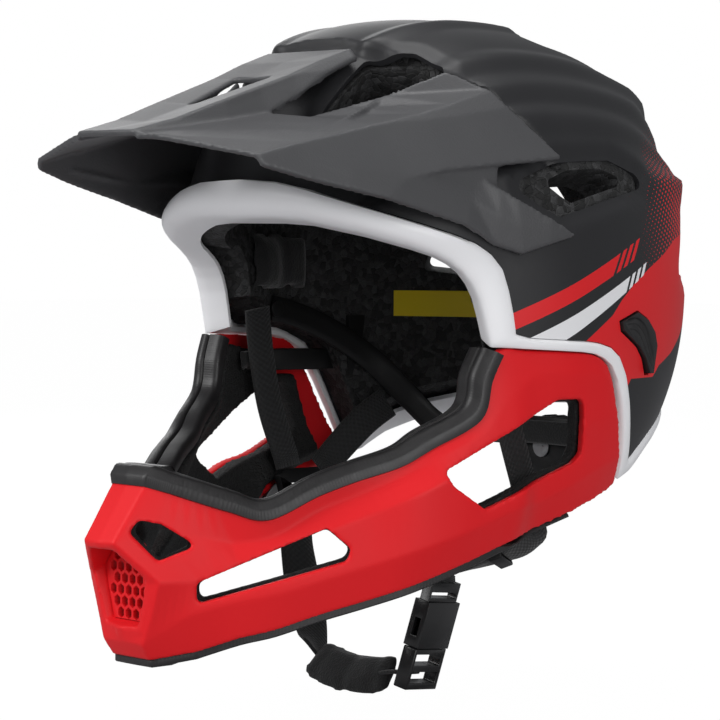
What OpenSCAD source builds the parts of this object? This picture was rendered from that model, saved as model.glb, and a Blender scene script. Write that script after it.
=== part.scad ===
// Full-face mountain bike helmet with a detachable chin guard and a pull-off visor.
// Origin: centre of the wearer's head at headband height. Face towards -Y, left side +X, +Z up.
// All lengths are millimetres.

/* [Shell] */
// Half of the shell's width
half_w = 105; // [100:0.5:110]
// Reach of the shell in front of its middle
front_reach = 106; // [103:0.5:110]
// Reach of the shell behind its middle
rear_reach = 142; // [136:0.5:150]
// Height of the crown above the shell's widest level
crown_h = 114; // [110:0.5:120]
// Thickness of the outer shell
shell_t = 2.2; // [1.8:0.1:2.6]
// Depth of the seat that the visor lies in
seat_d = 5; // [4.6:0.1:5.6]
// Height of the long ribs on the crown
rib_h = 1.8; // [1:0.1:2.6]

/* [Liner] */
// Thickness of the foam liner
liner_t = 20.5; // [18:0.5:22]
// Gap between the shell and the foam
foam_gap = 1.3; // [1.2:0.1:1.6]
// Thickness of the comfort pads
pad_t = 6; // [4:0.5:7]

/* [White edge frame] */
// Depth of the lip around the face opening
lip_d = 20; // [16:0.5:22]
// Thickness of the lip
lip_t = 3; // [2.4:0.1:3.6]
// How far the frame's face stands proud at the sides
frame_crown = 1.6; // [0.8:0.1:2.4]
// How far it stands proud over the brow
brow_crown = 5.5; // [4:0.5:7]
// Depth of the frame's lip along the chin guard's seat
seat_lip_d = 5; // [4:0.5:6]
// Depth of the frame's lip round the nape
nape_lip_d = 14; // [10:0.5:16]

/* [Visor] */
// Thickness of the visor
visor_t = 2.8; // [2.4:0.1:3]
// How far the visor pulls off its pegs
visor_pull = 30; // [26:1:40]
// Diameter of the visor pegs
peg_d = 5; // [4:0.5:6]
// Radial gap round each peg
peg_gap = 0.3; // [0.2:0.05:0.4]

/* [Chin guard] */
// Thickness of the guard's moulded wall
guard_t = 5; // [4:0.5:6]
// Thickness of the foam inside the guard
guard_foam_t = 8; // [6:0.5:9]
// Gap between the guard and the pieces that it meets
guard_gap = 0.5; // [0.4:0.1:0.8]
// Height of the rubber bead along the guard's top edge
bead_h = 7; // [6:0.5:8]
// Depth of the bead from outside to inside
bead_d = 15; // [12:0.5:16]
// Height of the strip under the guard
strip_h = 3.2; // [2.4:0.1:4]
// Size of a hole in the front grille across its corners
grille_hole = 4.3; // [3.4:0.1:4.6]
// Bar between the grille's holes
grille_bar = 1.25; // [0.9:0.05:1.6]

/* [Latch] */
// Travel of a release button
button_travel = 2.5; // [1.5:0.1:3]
// Width of the steel-reinforced tongue, up and down
tongue_h = 10; // [8:0.5:12]
// Thickness of the tongue
tongue_t = 4; // [3:0.25:4.5]
// How far the tongue reaches into its socket
tongue_reach = 24; // [20:0.5:26]
// Clearance round the tongue
tongue_gap = 0.4; // [0.3:0.05:0.6]

/* [Straps] */
// Width of the webbing
web_w = 19; // [16:0.5:20]
// Thickness of the webbing
web_t = 1.6; // [1.2:0.1:2]

/* [Buckle] */
// Width of the buckle
buckle_w = 24; // [23.5:0.5:28]
// Thickness of the buckle
buckle_t = 8; // [7.5:0.5:10]
// Length of the socket half
socket_len = 25; // [23:0.5:30]
// Length of the plug half outside the socket
plug_len = 19; // [17:0.5:22]
// Gap between plug and socket
buckle_gap = 0.35; // [0.25:0.05:0.5]

/* [Fit system] */
// Radius of the fit dial
dial_r = 15; // [13:0.5:18]
// Thickness of the fit dial
dial_t = 8; // [6:0.5:10]
// Travel of the cradle
cradle_travel = 12; // [8:0.5:14]
// Width of the headband
band_w = 12; // [9:0.5:14]
// Thickness of the headband
band_t = 1.5; // [1.2:0.1:2]

/* [Hidden] */

black = "#2b2b2d";
red = "#cf262c";
white = "#e9e9eb";
foam = "#1f1f20";
rubber = "#232224";
web_col = "#161617";

mid_y = -11;      // y of the shell's middle
mid_z = 25;       // level where the shell is widest
low_side = 168;   // drop scale of the wall under that level, at the sides
low_back = 113;   // the same at the nape
plan_n = 2.12;    // roundness of the plan
side_n = 2.4;     // roundness of the side view
centre = [0, mid_y, mid_z];

function lerp(a, b, t) = a + (b - a) * t;
function unit(v) = v / norm(v);
function ease(t) = let (u = max(0, min(1, t))) u * u * (3 - 2 * u);
function flip(p) = [-p[0], p[1], p[2]];
// Value at k in a table of [key, value] rows
function at(rows, k, i = 0) =
  k <= rows[0][0] ? rows[0][1] :
  i >= len(rows) - 1 ? rows[len(rows) - 1][1] :
  k <= rows[i + 1][0] ?
    lerp(rows[i][1], rows[i + 1][1], (k - rows[i][0]) / (rows[i + 1][0] - rows[i][0])) :
  at(rows, k, i + 1);

// Pieces chosen at one size of shell keep to its sides and back when it is made wider or longer
wider = half_w - 105;
longer = (rear_reach - 142) / 142;
function spread(p) = [p[0] + sign(p[0]) * wider * ease(abs(p[0]) / 95), p[1], p[2]];
function spread_all(v) = [for (p = v) spread(p)];

// The shell is a rounded form: a plan curve, scaled level by level.
// Angles run round the plan from the face, 0, over the left side, 90, to the nape, 180.
function plan_r(a) = 1 / pow(pow(abs(sin(a)) / half_w, plan_n)
  + pow(abs(cos(a)) / (cos(a) > 0 ? front_reach : rear_reach), plan_n), 1 / plan_n);
function drop(a, h) = h > 0 ? crown_h
  : low_side - (low_side - low_back) * ease((abs(a) - 100) / 60);
function level_k(a, z) = pow(max(0, 1 - pow(abs(z - mid_z) / drop(a, z - mid_z), side_n)), 1 / side_n);
// The shell narrows a little towards the pillars of the face opening
function pinch(a, z) = 0.04 * ease((56 - z) / 26) * ease(1 - abs(abs(a) - 66) / 26);
function skin0(a, z) = let (r = plan_r(a) * level_k(a, z) * (1 - pinch(a, z)))
  [r * sin(a), mid_y - r * cos(a), z];
function inward(p, off) = let (v = p - centre, d = norm(v)) centre + v * (d - off) / d;
function skin(a, z, off = 0) = inward(skin0(a, z), off);
// Steepness angle on the side view, and back
function tilt_of(a, z) = let (h = z - mid_z)
  sign(h) * asin(min(1, pow(abs(h) / drop(a, h), side_n / 2)));
function z_of(a, t) = mid_z + sign(t) * drop(a, t) * pow(abs(sin(t)), 2 / side_n);

// Angle of a point about the fore-and-aft axis, and the visor's seam at that angle
function lateral(p) = atan2(abs(p[0]), p[2] - mid_z);
seam_rows = [[0, -71], [16, -71], [38, -58], [46, -46], [52, -41], [64, -21], [70, -45]];
function seam_y(lat) = at(seam_rows, lat);
rib_lines = [17, 36, 45, 53];
function rib(lat, y) = rib_h * ease((y - seam_y(lat) + 30) / 40) * ease((110 - y) / 30)
  * max([for (l = rib_lines) ease(1 - abs(lat - l) / 4.5)]);
rear_rows = [[35, 0], [50, 0.5], [56, 1], [62, 2.8], [67, 4.2], [73, -1], [79, -3.4], [85, -3.6], [91, -2.8],
  [97, -1], [102, 1.6], [108, 2], [114, 0]];
function rear_ridge(p) = ease((p[1] - 20) / 60) * at(rear_rows, p[2]);
function seat(p, more = 0) = -seat_d * ease((seam_y(lateral(p)) - p[1] + 5) / 4)
  * ease((66 + more - lateral(p)) / 6);
function relief(p) = seat(p) + (p[2] > mid_z ? rib(lateral(p), p[1]) + rear_ridge(p) : 0);
function shell_pt(a, z, off) = let (p = skin0(a, z)) inward(p, off - relief(p));
// The foam stands back under the hollows behind the crown
function hollow(p) = 3.6 * ease((p[1] - 20) / 60) * ease((p[2] - 50) / 20) * ease((125 - p[2]) / 15);
foam_seat = 1.15;           // the foam's seat is a little deeper and wider than the shell's
function foam_pt(a, z, off) = let (p = skin0(a, z))
  inward(p, off - foam_seat * seat(p - [0, 7, 0], 7) + hollow(p));

// Lower edge of the black and red shell, and the free edge of the white frame, as [angle, z]
shell_edge = [[0, 66], [12, 65], [22, 61.5], [39, 52.5], [50, 46.5], [56, 43], [61, 39.5], [65, 35],
  [68, 29], [69.7, 20], [71, 10], [71.8, 1.6], [76, -0.4], [84, -1.2], [92, -2], [97, -3], [101.5, -5],
  [105, -9], [108.4, -17], [111.4, -28], [114.6, -42], [118.5, -56], [122.5, -51.5], [129, -45],
  [137, -39.5], [148, -35], [160, -31.5], [170, -30.4], [180, -30]];
frame_edge = [[0, 50], [11, 50], [20, 49], [34, 44], [45, 38.5], [51, 35], [55, 31.5], [58, 27.5],
  [60.5, 22], [62.5, 15], [64, 6], [65.5, -4.2], [76, -5], [84, -5.8], [91, -6.6], [95.5, -7.6], [99.2, -9.8],
  [102.2, -13], [105.2, -19.5], [108, -29], [111.2, -42], [116, -64.5], [121.5, -62], [128.5, -54],
  [137, -48], [148, -43], [160, -40], [170, -38.9], [180, -38.5]];
edge_n = len(shell_edge);
face_n = 12;       // stations that belong to the face opening

// Columns of the shell and liner grids: the edge's own angles and some between
half_cols = [for (i = [0:edge_n - 1]) shell_edge[i][0]];
more_cols = [5, 30, 80];
function sorted(v) = len(v) <= 1 ? v : let (p = v[floor(len(v) / 2)])
  concat(sorted([for (x = v) if (x < p) x]), [for (x = v) if (x == p) x],
    sorted([for (x = v) if (x > p) x]));
left_cols = sorted(concat(half_cols, more_cols));
function whole_round(cols) = concat(cols, [for (i = [len(cols) - 2:-1:1]) -cols[i]]);
cols = whole_round(left_cols);

// Closed double-walled dome: the outer rows climb from the edge to the crown, the inner ones go back
module dome(outer, inner, n, rows) {
  faces = concat(
    [for (j = [0:rows - 2], i = [0:n - 1]) let (a = j * n, b = a + n, q = (i + 1) % n)
      each [[a + i, b + i, b + q], [a + i, b + q, a + q]]],
    [for (i = [0:n - 1]) [(rows - 1) * n + i, rows * n, (rows - 1) * n + (i + 1) % n]]);
  m = rows * n + 1;
  back = [for (f = faces) [f[0] + m, f[2] + m, f[1] + m]];
  rim = [for (i = [0:n - 1]) each [[i, (i + 1) % n, i + m], [(i + 1) % n, (i + 1) % n + m, i + m]]];
  polyhedron(concat(outer, inner), concat(faces, back, rim));
}

function rows_of(list, n_rows, top) = concat(
  [for (j = [0:n_rows - 1], c = list) let (t = lerp(tilt_of(c[0], c[1]), 90, j / n_rows))
    [c[0], z_of(c[0], t)]],
  [[0, top]]);

// Sweep of closed rings, joined end to end
module ring_sweep(rings) {
  n = len(rings);
  k = len(rings[0]);
  polyhedron([for (r = rings) each r],
    [for (i = [0:n - 1], j = [0:k - 1]) let (a = i * k, b = ((i + 1) % n) * k, q = (j + 1) % k)
      each [[a + j, a + q, b + q], [a + j, b + q, b + j]]]);
}
// Sweep of closed rings with flat ends
module bar_sweep(rings) {
  n = len(rings);
  k = len(rings[0]);
  polyhedron([for (r = rings) each r], concat(
    [for (i = [0:n - 2], j = [0:k - 1]) let (a = i * k, b = (i + 1) * k, q = (j + 1) % k)
      each [[a + j, a + q, b + q], [a + j, b + q, b + j]]],
    [for (j = [1:k - 2]) [0, j + 1, j]],
    [for (j = [1:k - 2]) let (b = (n - 1) * k) [b, b + j, b + j + 1]]));
}

// Faces of a closed sheet of n lines of k points, its inner side's points following the outer side's
function sheet_faces(n, k) = let (m = n * k,
    outer = [for (i = [0:n - 2], j = [0:k - 2]) let (a = i * k + j, b = a + k)
      each [[a, a + 1, b + 1], [a, b + 1, b]]])
  concat(outer, [for (f = outer) [f[0] + m, f[2] + m, f[1] + m]],
    [for (j = [0:k - 2]) each [[j, j + m, j + 1 + m], [j, j + 1 + m, j + 1]]],
    [for (j = [0:k - 2]) let (a = m - k + j) each [[a, a + 1, a + 1 + m], [a, a + 1 + m, a + m]]],
    [for (i = [0:n - 2]) let (a = i * k, b = a + k) each [[a, b, b + m], [a, b + m, a + m]]],
    [for (i = [1:n - 1]) let (b = i * k - 1, a = b + k) each [[a, b, a + m], [b, b + m, a + m]]]);

// A vent is cut by a rounded prism along one direction, through its corners
module vent(corners, dir, r = 3, depth = 70, n = 8) {
  turn = [0, atan2(norm([dir[0], dir[1]]), dir[2]), atan2(dir[1], dir[0])];
  hull() for (c = corners) translate(spread(c)) rotate(turn)
    cylinder(h = depth, r = r, center = true, $fn = n);
}
module both() { children(); mirror([1, 0, 0]) children(); }

front_vent = [[34, -92, 100], [36, -72, 120], [50, -60, 119], [61, -57, 112], [50, -82, 101]];
front_vent_dir = [0.42, -0.5, 0.75];
side_vent = [[99, -36, 65], [99, -19, 71], [97, 17, 73], [95, 35, 68], [102, -20, 56], [101, -28, 60]];
side_vent_dir = [0.92, 0.05, 0.38];
rear_vent = [[78, 84, 30], [70, 92, 62], [52, 106, 62], [56, 110, 26]];
rear_vent_dir = [0.6, 0.78, 0.1];
top_vent = [[26, 28, 134], [30, 66, 122], [44, 58, 118], [42, 24, 128]];
top_vent_dir = [0.25, 0.25, 0.93];
nape_vent = [[14, 124, 66], [22, 116, 84], [36, 112, 78], [34, 118, 60]];
nape_vent_dir = [0.2, 0.88, 0.42];

module vents(r, n, side_k = 1) {
  side_mid = (side_vent[0] + side_vent[3]) / 2;
  both() {
    vent(front_vent, front_vent_dir, r, n = n);
    vent([for (c = side_vent) lerp(side_mid, c, side_k)], side_vent_dir, r, n = n);
    vent(rear_vent, rear_vent_dir, r, n = n);
    vent(top_vent, top_vent_dir, r, n = n);
    vent(nape_vent, nape_vent_dir, r, n = n);
  }
}

shell_rows = 10;
module upper_shell() {
  grid = rows_of([for (a = cols) [a, at(shell_edge, abs(a)) + 0.4]], shell_rows, mid_z + crown_h);
  color(black) difference() {
    dome([for (g = grid) shell_pt(g[0], g[1], 0)], [for (g = grid) shell_pt(g[0], g[1], shell_t)],
      len(cols), shell_rows);
    vents(4, 8);
    both() latch_pocket();
    peg_bores();
  }
}

foam_rows = 6;
foam_step = 11;     // the foam stands back over the guard's pillars
function foam_back(a) = foam_step * ease((a - 51) / 9) * ease((79 - a) / 6)
  + foam_step / 2 * ease((a - 101) / 6) * ease((125 - a) / 8);
module eps_liner() {
  edge = [for (a = cols) [a, at(frame_edge, abs(a)) + lip_t + 1.4 + foam_back(abs(a))]];
  grid = rows_of(edge, foam_rows, mid_z + crown_h);
  out = shell_t + foam_gap;
  color(foam) difference() {
    dome([for (g = grid) foam_pt(g[0], g[1], out)], [for (g = grid) skin(g[0], g[1], out + liner_t)],
      len(cols), foam_rows);
    vents(2.5, 6, 0.5);
    both() socket_pocket();
    peg_bores();
  }
}

// White frame: round the face opening, along the chin guard's seat, and round the nape
function frame_ring(o, i, deep, proud) = let (w = norm(skin(o[0], o[1]) - skin(i[0], i[1])), s = lip_t / w)
  [skin(o[0], o[1], shell_t), skin(o[0], o[1], -0.2),
   skin(lerp(o[0], i[0], 0.3), lerp(o[1], i[1], 0.3), -proud),
   skin(lerp(o[0], i[0], 0.7), lerp(o[1], i[1], 0.7), -proud * 0.9),
   skin(i[0], i[1], 1 - 0.3 * proud), skin(i[0], i[1], deep),
   skin(lerp(i[0], o[0], s), lerp(i[1], o[1], s), deep),
   skin(lerp(i[0], o[0], s), lerp(i[1], o[1], s), shell_t)];
seat_last = 21;            // last station along the chin guard's seat
function frame_depth(i) = i < face_n ? lip_d : i <= seat_last ? seat_lip_d : nape_lip_d;
function frame_proud(i) = i < face_n ?
    lerp(brow_crown, frame_crown, ease((shell_edge[i][0] - 40) / 25))
  : i <= seat_last ? frame_crown * 0.6 : frame_crown;
module lower_shell() {
  left = [for (i = [0:edge_n - 1]) frame_ring(shell_edge[i], frame_edge[i], frame_depth(i), frame_proud(i))];
  right = [for (i = [edge_n - 2:-1:1]) [for (p = left[i]) flip(p)]];
  color(white) ring_sweep(turned(concat(left, right)));
}

// Visor: lines from its front edge back to the seam, from the middle outwards
v_mid = [[0, -187.5, 84.5], [0, -165, 89], [0, -141, 97], [0, -126, 101.5], [0, -105, 109.5],
  [0, -88, 117], [0, -73, 122.8]];
v_panel = [[18, -186.5, 84.5], [20, -165, 90], [22, -141, 98.5], [23.5, -124, 104], [25, -106, 110.5],
  [26, -90, 117], [27, -73.5, 122.5]];
v_foot = [[20, -185, 83.5], [23, -163, 86.5], [26, -141, 90], [27.5, -122, 93.3], [29.5, -106, 102],
  [30.5, -90, 112], [31, -73.5, 119]];
v_fan = concat(spread_all([[30, -181, 82.5], [33, -160, 85.5], [35, -139, 89], [36.5, -107.5, 92],
  [44, -95.6, 96], [54, -80, 101.5]]), [skin(56, 111, -2.2)]);
v_crease = concat(spread_all([[72, -166.5, 74.5], [74, -145.5, 79.7], [75.8, -125.4, 83.9],
  [77.7, -104.8, 88.6], [79.5, -83.7, 93.3], [81, -67.6, 97.6]]), [skin(68, 103, -2.6)]);
v_sliver = [for (i = [0:3]) v_crease[i], spread([82.5, -82, 90.5]), spread([86, -62, 93.5]),
  skin(72, 95, -3.4)];
v_groove = concat(spread_all([[73.2, -165.8, 72], [77.5, -146, 71.5], [83.5, -126, 69], [89.6, -100.2, 66],
  [93, -80, 70], [97.6, -54, 72.8]]), [skin(84, 74, -5)]);
v_low = spread_all([[74, -165, 70.5], [80, -146, 65.5], [85, -128, 61.5], [89.5, -111, 58],
  [93.8, -90, 54.5]]);
// The ear that wraps back under the side vent lies on the shell
ear_gap = 1.1;
ear_top_at = [[66, 62], [70, 58], [79, 50], [85.5, 44]];
ear_low_at = [[65.5, 38.5], [72, 35], [79, 39], [86, 42.5]];
function ear_line(rows) = [for (c = rows) skin(c[0], c[1], -ear_gap - visor_t)];
ear_top = concat([v_groove[3], skin(61, 66, -4)], ear_line(ear_top_at));
ear_low = concat([v_low[3], spread([96, -72, 47.5])], ear_line(ear_low_at));
v_half = [for (i = [0:3]) lerp(v_groove[i], v_low[i], 0.5)];
ear_mid = concat([v_half[3], lerp(ear_top[1], ear_low[1], 0.5)],
  ear_line([for (i = [0:3]) lerp(ear_top_at[i], ear_low_at[i], 0.5)]));

// Underside of a thin plate: each point moved towards the inside of the helmet
function under(p, d) = let (v = p - [0, p[1] + 26, 10]) p - unit(v) * d;
module plate(lines, d) {
  polyhedron(concat([for (l = lines) each l], [for (l = lines, p = l) under(p, d)]),
    sheet_faces(len(lines), len(lines[0])));
}
// Ridge under the visor from one point to another
module visor_rib(p, q) {
  hull() for (c = [p, q]) translate(under(c, 2)) sphere(d = 2.6, $fn = 6);
}
function part_of(v, a, b) = [for (i = [a:b]) v[i]];

// The visor slides off along pull_dir; its pegs and their seats lie along the same line
pull_tilt = 30;
pull_dir = [0, -cos(pull_tilt), sin(pull_tilt)];
peg_sites = [shell_pt(0, 115, 0), shell_pt(46, 90, 0), shell_pt(-46, 90, 0)];
boss_len = [3, 9.5, 9.5];
peg_len = 7;
grommet_wall = 1.5;
module on_pull(i) { translate(peg_sites[i]) rotate([90 - pull_tilt, 0, 0]) children(); }

module peg_boss(h) {
  translate([0, 0, 1.2]) cylinder(h = h, d1 = peg_d + 3, d2 = peg_d + 6, $fn = 16);
}
module visor() {
  color(black) difference() {
    union() {
      both() {
        plate([part_of(v_mid, 0, 2), part_of(v_panel, 0, 2), part_of(v_foot, 0, 2)], visor_t);
        plate([part_of(v_mid, 4, 6), part_of(v_panel, 4, 6)], visor_t);
        plate([part_of(v_panel, 2, 6), part_of(v_foot, 2, 6)], visor_t);
        plate([part_of(v_foot, 0, 3), concat(part_of(v_fan, 0, 2), [v_foot[3]]),
          part_of(v_crease, 0, 3)], visor_t);
        plate([concat([v_foot[3]], part_of(v_fan, 3, 6)),
          concat([v_crease[3]], part_of(v_crease, 3, 6))], visor_t);
        plate([v_crease, v_sliver, v_groove], visor_t);
        plate([part_of(v_groove, 0, 3), v_half, part_of(v_low, 0, 3)], visor_t);
        plate([ear_top, ear_mid, ear_low], visor_t);
        // Slot sides between the fore and rear centre panels
        hull() for (p = [v_panel[2], v_panel[3], v_panel[4], [12.5, -106, 109.8], [2, -141, 97]])
          translate(under(p, visor_t / 2)) sphere(d = visor_t - 0.2, $fn = 6);
        visor_rib(v_fan[5], v_crease[1]);
        visor_rib(v_foot[0], v_foot[3]);
        visor_rib(v_groove[1], v_groove[3]);
        on_pull(1) peg_boss(boss_len[1]);
      }
      on_pull(0) peg_boss(boss_len[0]);
    }
    for (i = [0:2]) on_pull(i) translate([0, 0, -1]) cylinder(h = boss_len[i], d = peg_d + 0.4, $fn = 16);
  }
}

// Pegs: a straight pin with a barbed head, seated in the boss's bore
module visor_pegs() {
  color(rubber) for (i = [0:2]) on_pull(i)
    translate([0, 0, -peg_len]) cylinder(h = peg_len + boss_len[i] - 1.2, d = peg_d, $fn = 16);
}
grommet_d = peg_d + 2 * (peg_gap + grommet_wall);
grommet_len = peg_len + 1;
module visor_grommets() {
  color(rubber) for (i = [0:2]) on_pull(i) difference() {
    translate([0, 0, -grommet_len]) cylinder(h = grommet_len + 0.6, d = grommet_d, $fn = 16);
    translate([0, 0, -peg_len - 0.4]) cylinder(h = grommet_len + 2, d = peg_d + 2 * peg_gap, $fn = 16);
  }
}
module peg_bores() {
  for (i = [0:2]) on_pull(i) translate([0, 0, -grommet_len - 0.3])
    cylinder(h = grommet_len + 8, d = grommet_d + 0.5, $fn = 16);
}

// Chin guard: stations from the middle of the nose to the rear end. Each row holds the top edge,
// the upper and lower creases of the bright band, the low crease and the bottom edge
guard_marks = [
  [[0, -173, -60], [0, -189.3, -84.2], [0, -183.3, -103], [0, -175.8, -126.5], [0, -171.6, -133.5]],
  [[10.7, -172, -60.2], [9.6, -188.8, -84.2], [22.8, -174.8, -100.2], [12.9, -175.7, -126.5],
    [11.8, -171.2, -133.5]],
  [[17, -165, -62.8], [18.5, -173, -78], [30, -160, -100], [27, -163, -114], [25, -156.5, -130]],
  [[34, -148, -70], [37, -148, -84.5], [40, -146.1, -95], [40.5, -146.6, -108], [38, -144, -124]],
  [[45.5, -136, -73.5], [48.5, -135.6, -82], [50.8, -133.4, -89], [50.8, -134, -105], [47.5, -132.5, -120.5]],
  [[56.2, -118.3, -64], [59, -118.2, -71], [61.6, -117.7, -80], [61.6, -118.8, -99.5], [58, -117.5, -114.5]],
  [[65.2, -105.3, -58], [69, -104.6, -64.5], [72.3, -102.4, -72.5], [72, -104, -94], [68, -103, -109.5]],
  [[75.2, -89.3, -52], [80.7, -87.8, -56.2], [85.5, -87, -64], [85, -86.5, -87.5], [79, -86.5, -103.5]],
  [[81.5, -78, -45], [88, -74.6, -48.2], [92, -72, -57], [92, -70.5, -82], [85, -69.5, -97.5]],
  [[91.2, -59.5, -33.3], [93.8, -58, -39.2], [96, -56.5, -52], [95, -56.5, -77], [88.5, -55.5, -92.5]],
  [[92.7, -54.7, -17.4], [96.3, -50.4, -30.2], [98.5, -47.8, -48], [97, -46.5, -73.5], [90, -45.5, -89]],
  [[94.3, -49.6, -5.2], [98.2, -42.8, -22.2], [100.3, -40, -44], [98.3, -37.5, -71], [91, -35.5, -86]]];
guard_rows = [for (r = guard_marks) spread_all(r)];
// Rear stations lie on the shell's form, as [angle, level, depth under the skin]
function seat_z(a) = at(frame_edge, a) - guard_gap;
guard_rear = [
  [[75.5, seat_z(75.5) - 0.6, 0.6], [78, -16, -0.8], [80, -41, -2.6], [81.5, -67.5, -4], [83, -82, -1.5]],
  [[87, seat_z(87) - 0.4, 0.4], [88, -15, -0.8], [91, -38, -1.8], [93, -61.5, -2.6], [96, -76, -1]],
  [[96, seat_z(96), 0.4], [96.5, -15.5, -0.8], [99, -36, -1.2], [102, -56.5, -1.8], [105, -71.5, -0.6]],
  [[100.6, seat_z(100.6) - 0.4, 0.4], [101, -18.5, -0.8], [104, -35, -1], [108, -54.5, -1.2],
    [112, -68.5, 0]],
  [[102.8, -17, 0.4], [104.8, -25, -0.2], [108, -37, -0.6], [112, -52.5, -0.8], [115, -65.8, 0]]];
front_n = len(guard_rows);
guard_n = front_n + len(guard_rear);
// Outward direction in plan at a station
function front_out(i) = let (a = guard_rows[max(i - 1, 0)][3], b = guard_rows[min(i + 1, front_n - 1)][3])
  i < 2 ? [0, -1, 0] : unit([-(a[1] - b[1]), a[0] - b[0], 0]);
function guard_pt(i, j, off, up) = i < front_n ?
    guard_rows[i][j] - off * front_out(i) + [0, 0, up]
  : let (g = guard_rear[i - front_n][j]) skin(g[0], g[1] + up, g[2] + off);
function guard_ring(i, off, thick, cut_top, cut_low) = let (up = [-cut_top, -cut_top * 0.3, 0, 0, cut_low])
  concat([for (j = [0:4]) guard_pt(i, j, off, up[j])],
    [for (j = [4:-1:0]) guard_pt(i, j, off + thick, up[j])]);
function mirrored(rings) = concat([for (i = [len(rings) - 1:-1:1]) [for (p = rings[i]) flip(p)]], rings);
function turned(rings) = [for (i = [len(rings) - 1:-1:0]) rings[i]];

// Windows: upper front, long lower, side, and a vent under the bottom edge
nose_window = [[13, -177, -77], [18, -171, -78.5], [25.5, -162.6, -85.4], [18, -171, -89.5],
  [12, -179, -79.8]];
long_window = [[30.5, -159, -102], [52, -136, -89], [64, -120, -80.5], [68.5, -113, -87.5],
  [68, -114, -90.5], [30.5, -159, -107]];
side_window = [[88, -72, -56.5], [104, -21, -29], [105, -10, -29], [104, -8, -48.5], [103, -11, -51.5],
  [91, -56, -69], [88, -70, -59.5]];
module guard_windows(r, n) {
  both() {
    vent(nose_window, [0.72, -0.69, 0], r * 0.7, 60, n);
    vent(long_window, [0.74, -0.67, 0], r * 0.7, 60, n);
    vent(side_window, [0.95, -0.31, 0.05], r, 50, n);
  }
}
// Opening in the leaning face of the nose, and the upright grille behind it
nose_out = [[-7, 17.2], [7, 17.2], [18.8, 1.6], [11.8, -18.2], [-11.8, -18.2], [-18.8, 1.6]];
nose_mid = [0, -183.2, -103];
nose_tilt = 17.7;
grille_out = [[-9, 16], [9, 16], [15.6, 7], [9.6, -14.6], [-9.6, -14.6], [-15.6, 7]];
grille_mid = [0, -171, -103];
grille_t = 3;
nose_wall = 1.8;           // wall of the recess between them
module on_nose(out) { translate(nose_mid) rotate([90 + nose_tilt, 0, 0]) translate([0, 0, out]) children(); }
module on_grille(out) { translate(grille_mid) rotate([90, 0, 0]) translate([0, 0, out]) children(); }
module recess(grow, front, back) {
  hull() {
    on_nose(front) linear_extrude(height = 0.1) offset(delta = grow) polygon(nose_out);
    on_grille(-back) linear_extrude(height = 0.1) offset(delta = grow) polygon(grille_out);
  }
}
module grille_way(grow, front) {
  on_grille(-30) linear_extrude(height = 30 + front) offset(delta = grow) polygon(grille_out);
}
module chin_guard() {
  color(red) difference() {
    union() {
      bar_sweep(turned(mirrored([for (i = [0:guard_n - 1]) guard_ring(i, 0, guard_t, 0, 0)])));
      intersection() {
        bar_sweep(turned(mirrored([for (i = [0:2]) guard_ring(i, 0, 4 * guard_t, 0, 0)])));
        recess(nose_wall, 2, grille_t);
      }
    }
    guard_windows(2.6, 8);
    recess(0, 2, -grille_t / 2);
    grille_way(grille_gap, grille_t / 2);
  }
}
liner_gap = 1;             // room for the adhesive between the guard and its foam
nose_room = 1;             // more of it behind the creases of the nose
module chin_guard_liner() {
  last = guard_n - 3;
  color(foam) difference() {
    bar_sweep(turned(mirrored([for (i = [0:last])
      let (off = guard_t + liner_gap + (i < 3 ? nose_room : 0), cut = ease((i - front_n + 1.5) / 1.5))
        guard_ring(i, off, guard_foam_t, 1.6 + 8.4 * cut, 2)])));
    guard_windows(1.6, 6);
    recess(nose_wall + guard_gap, 2, grille_t + 1);
    grille_way(nose_wall + guard_gap, 0);
    both() arm_pocket();
  }
}
// Grille: rows of tall hexagonal holes, wherever a whole one fits inside the rim
grille_gap = 0.3;
grille_rows = [-2:3];
hole_tall = 1.15;
module front_grille() {
  pitch = grille_hole * cos(30) + grille_bar;
  row_h = pitch * 0.97;
  drop = row_h / 2;
  color(red) on_grille(0) difference() {
    linear_extrude(height = grille_t, center = true) polygon(grille_out);
    for (j = grille_rows, i = [-3:3]) {
      x = (i + (j % 2 == 0 ? 0 : 0.5)) * pitch;
      y = j * row_h - drop;
      edge = y < 7 ? lerp(9.6, 15.6, (y + 14.6) / 21.6) : lerp(15.6, 9, (y - 7) / 9);
      if (abs(x) < edge - grille_hole / 2 - 0.6) translate([x, y, 0]) scale([1, hole_tall, 1]) rotate(30)
        cylinder(h = grille_t + 2, d = grille_hole, center = true, $fn = 6);
    }
  }
}
// Rubber bead along the top edge, square to the edge as it climbs to the pillars
bead_end = front_n - 1;
function edge_pt(i) = guard_rows[i][0];
function bead_ring(i, shape) = let (p = edge_pt(i), n = front_out(i),
    t = i == 0 ? [1, 0, 0] : unit(edge_pt(min(i + 1, bead_end)) - edge_pt(i - 1)), c = unit(cross(t, n)),
    u = c[2] < 0 ? -c : c, b = i == bead_end ? [0, -0.3, -1.5] : [0, 0, 0])
  [for (s = shape) p + b + n * s[0] + u * s[1]];
bead_shape = [[0.9, 0.9], [1.3, 2.2], [0, 4.6], [-2.2, bead_h], [-5, bead_h], [-6, bead_h - 1.2],
  [-7, bead_h], [1.5 - bead_d, bead_h - 0.6], [0.4 - bead_d, 3], [0.8 - bead_d, 0.9]];
module guard_bead() {
  color(rubber) bar_sweep(mirrored([for (i = [0:bead_end]) bead_ring(i, bead_shape)]));
}
strip_last = guard_n - 4;
function strip_ring(i) = let (a = guard_pt(i, 4, 1.2, 0), b = guard_pt(i, 4, guard_t + guard_foam_t, 0),
    gap = i < front_n - 1 ? 0.8 : 2)
  [a + [0, 0, -gap], a + [0, 0, -strip_h], b + [0, 0, -strip_h], b + [0, 0, -gap]];
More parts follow.
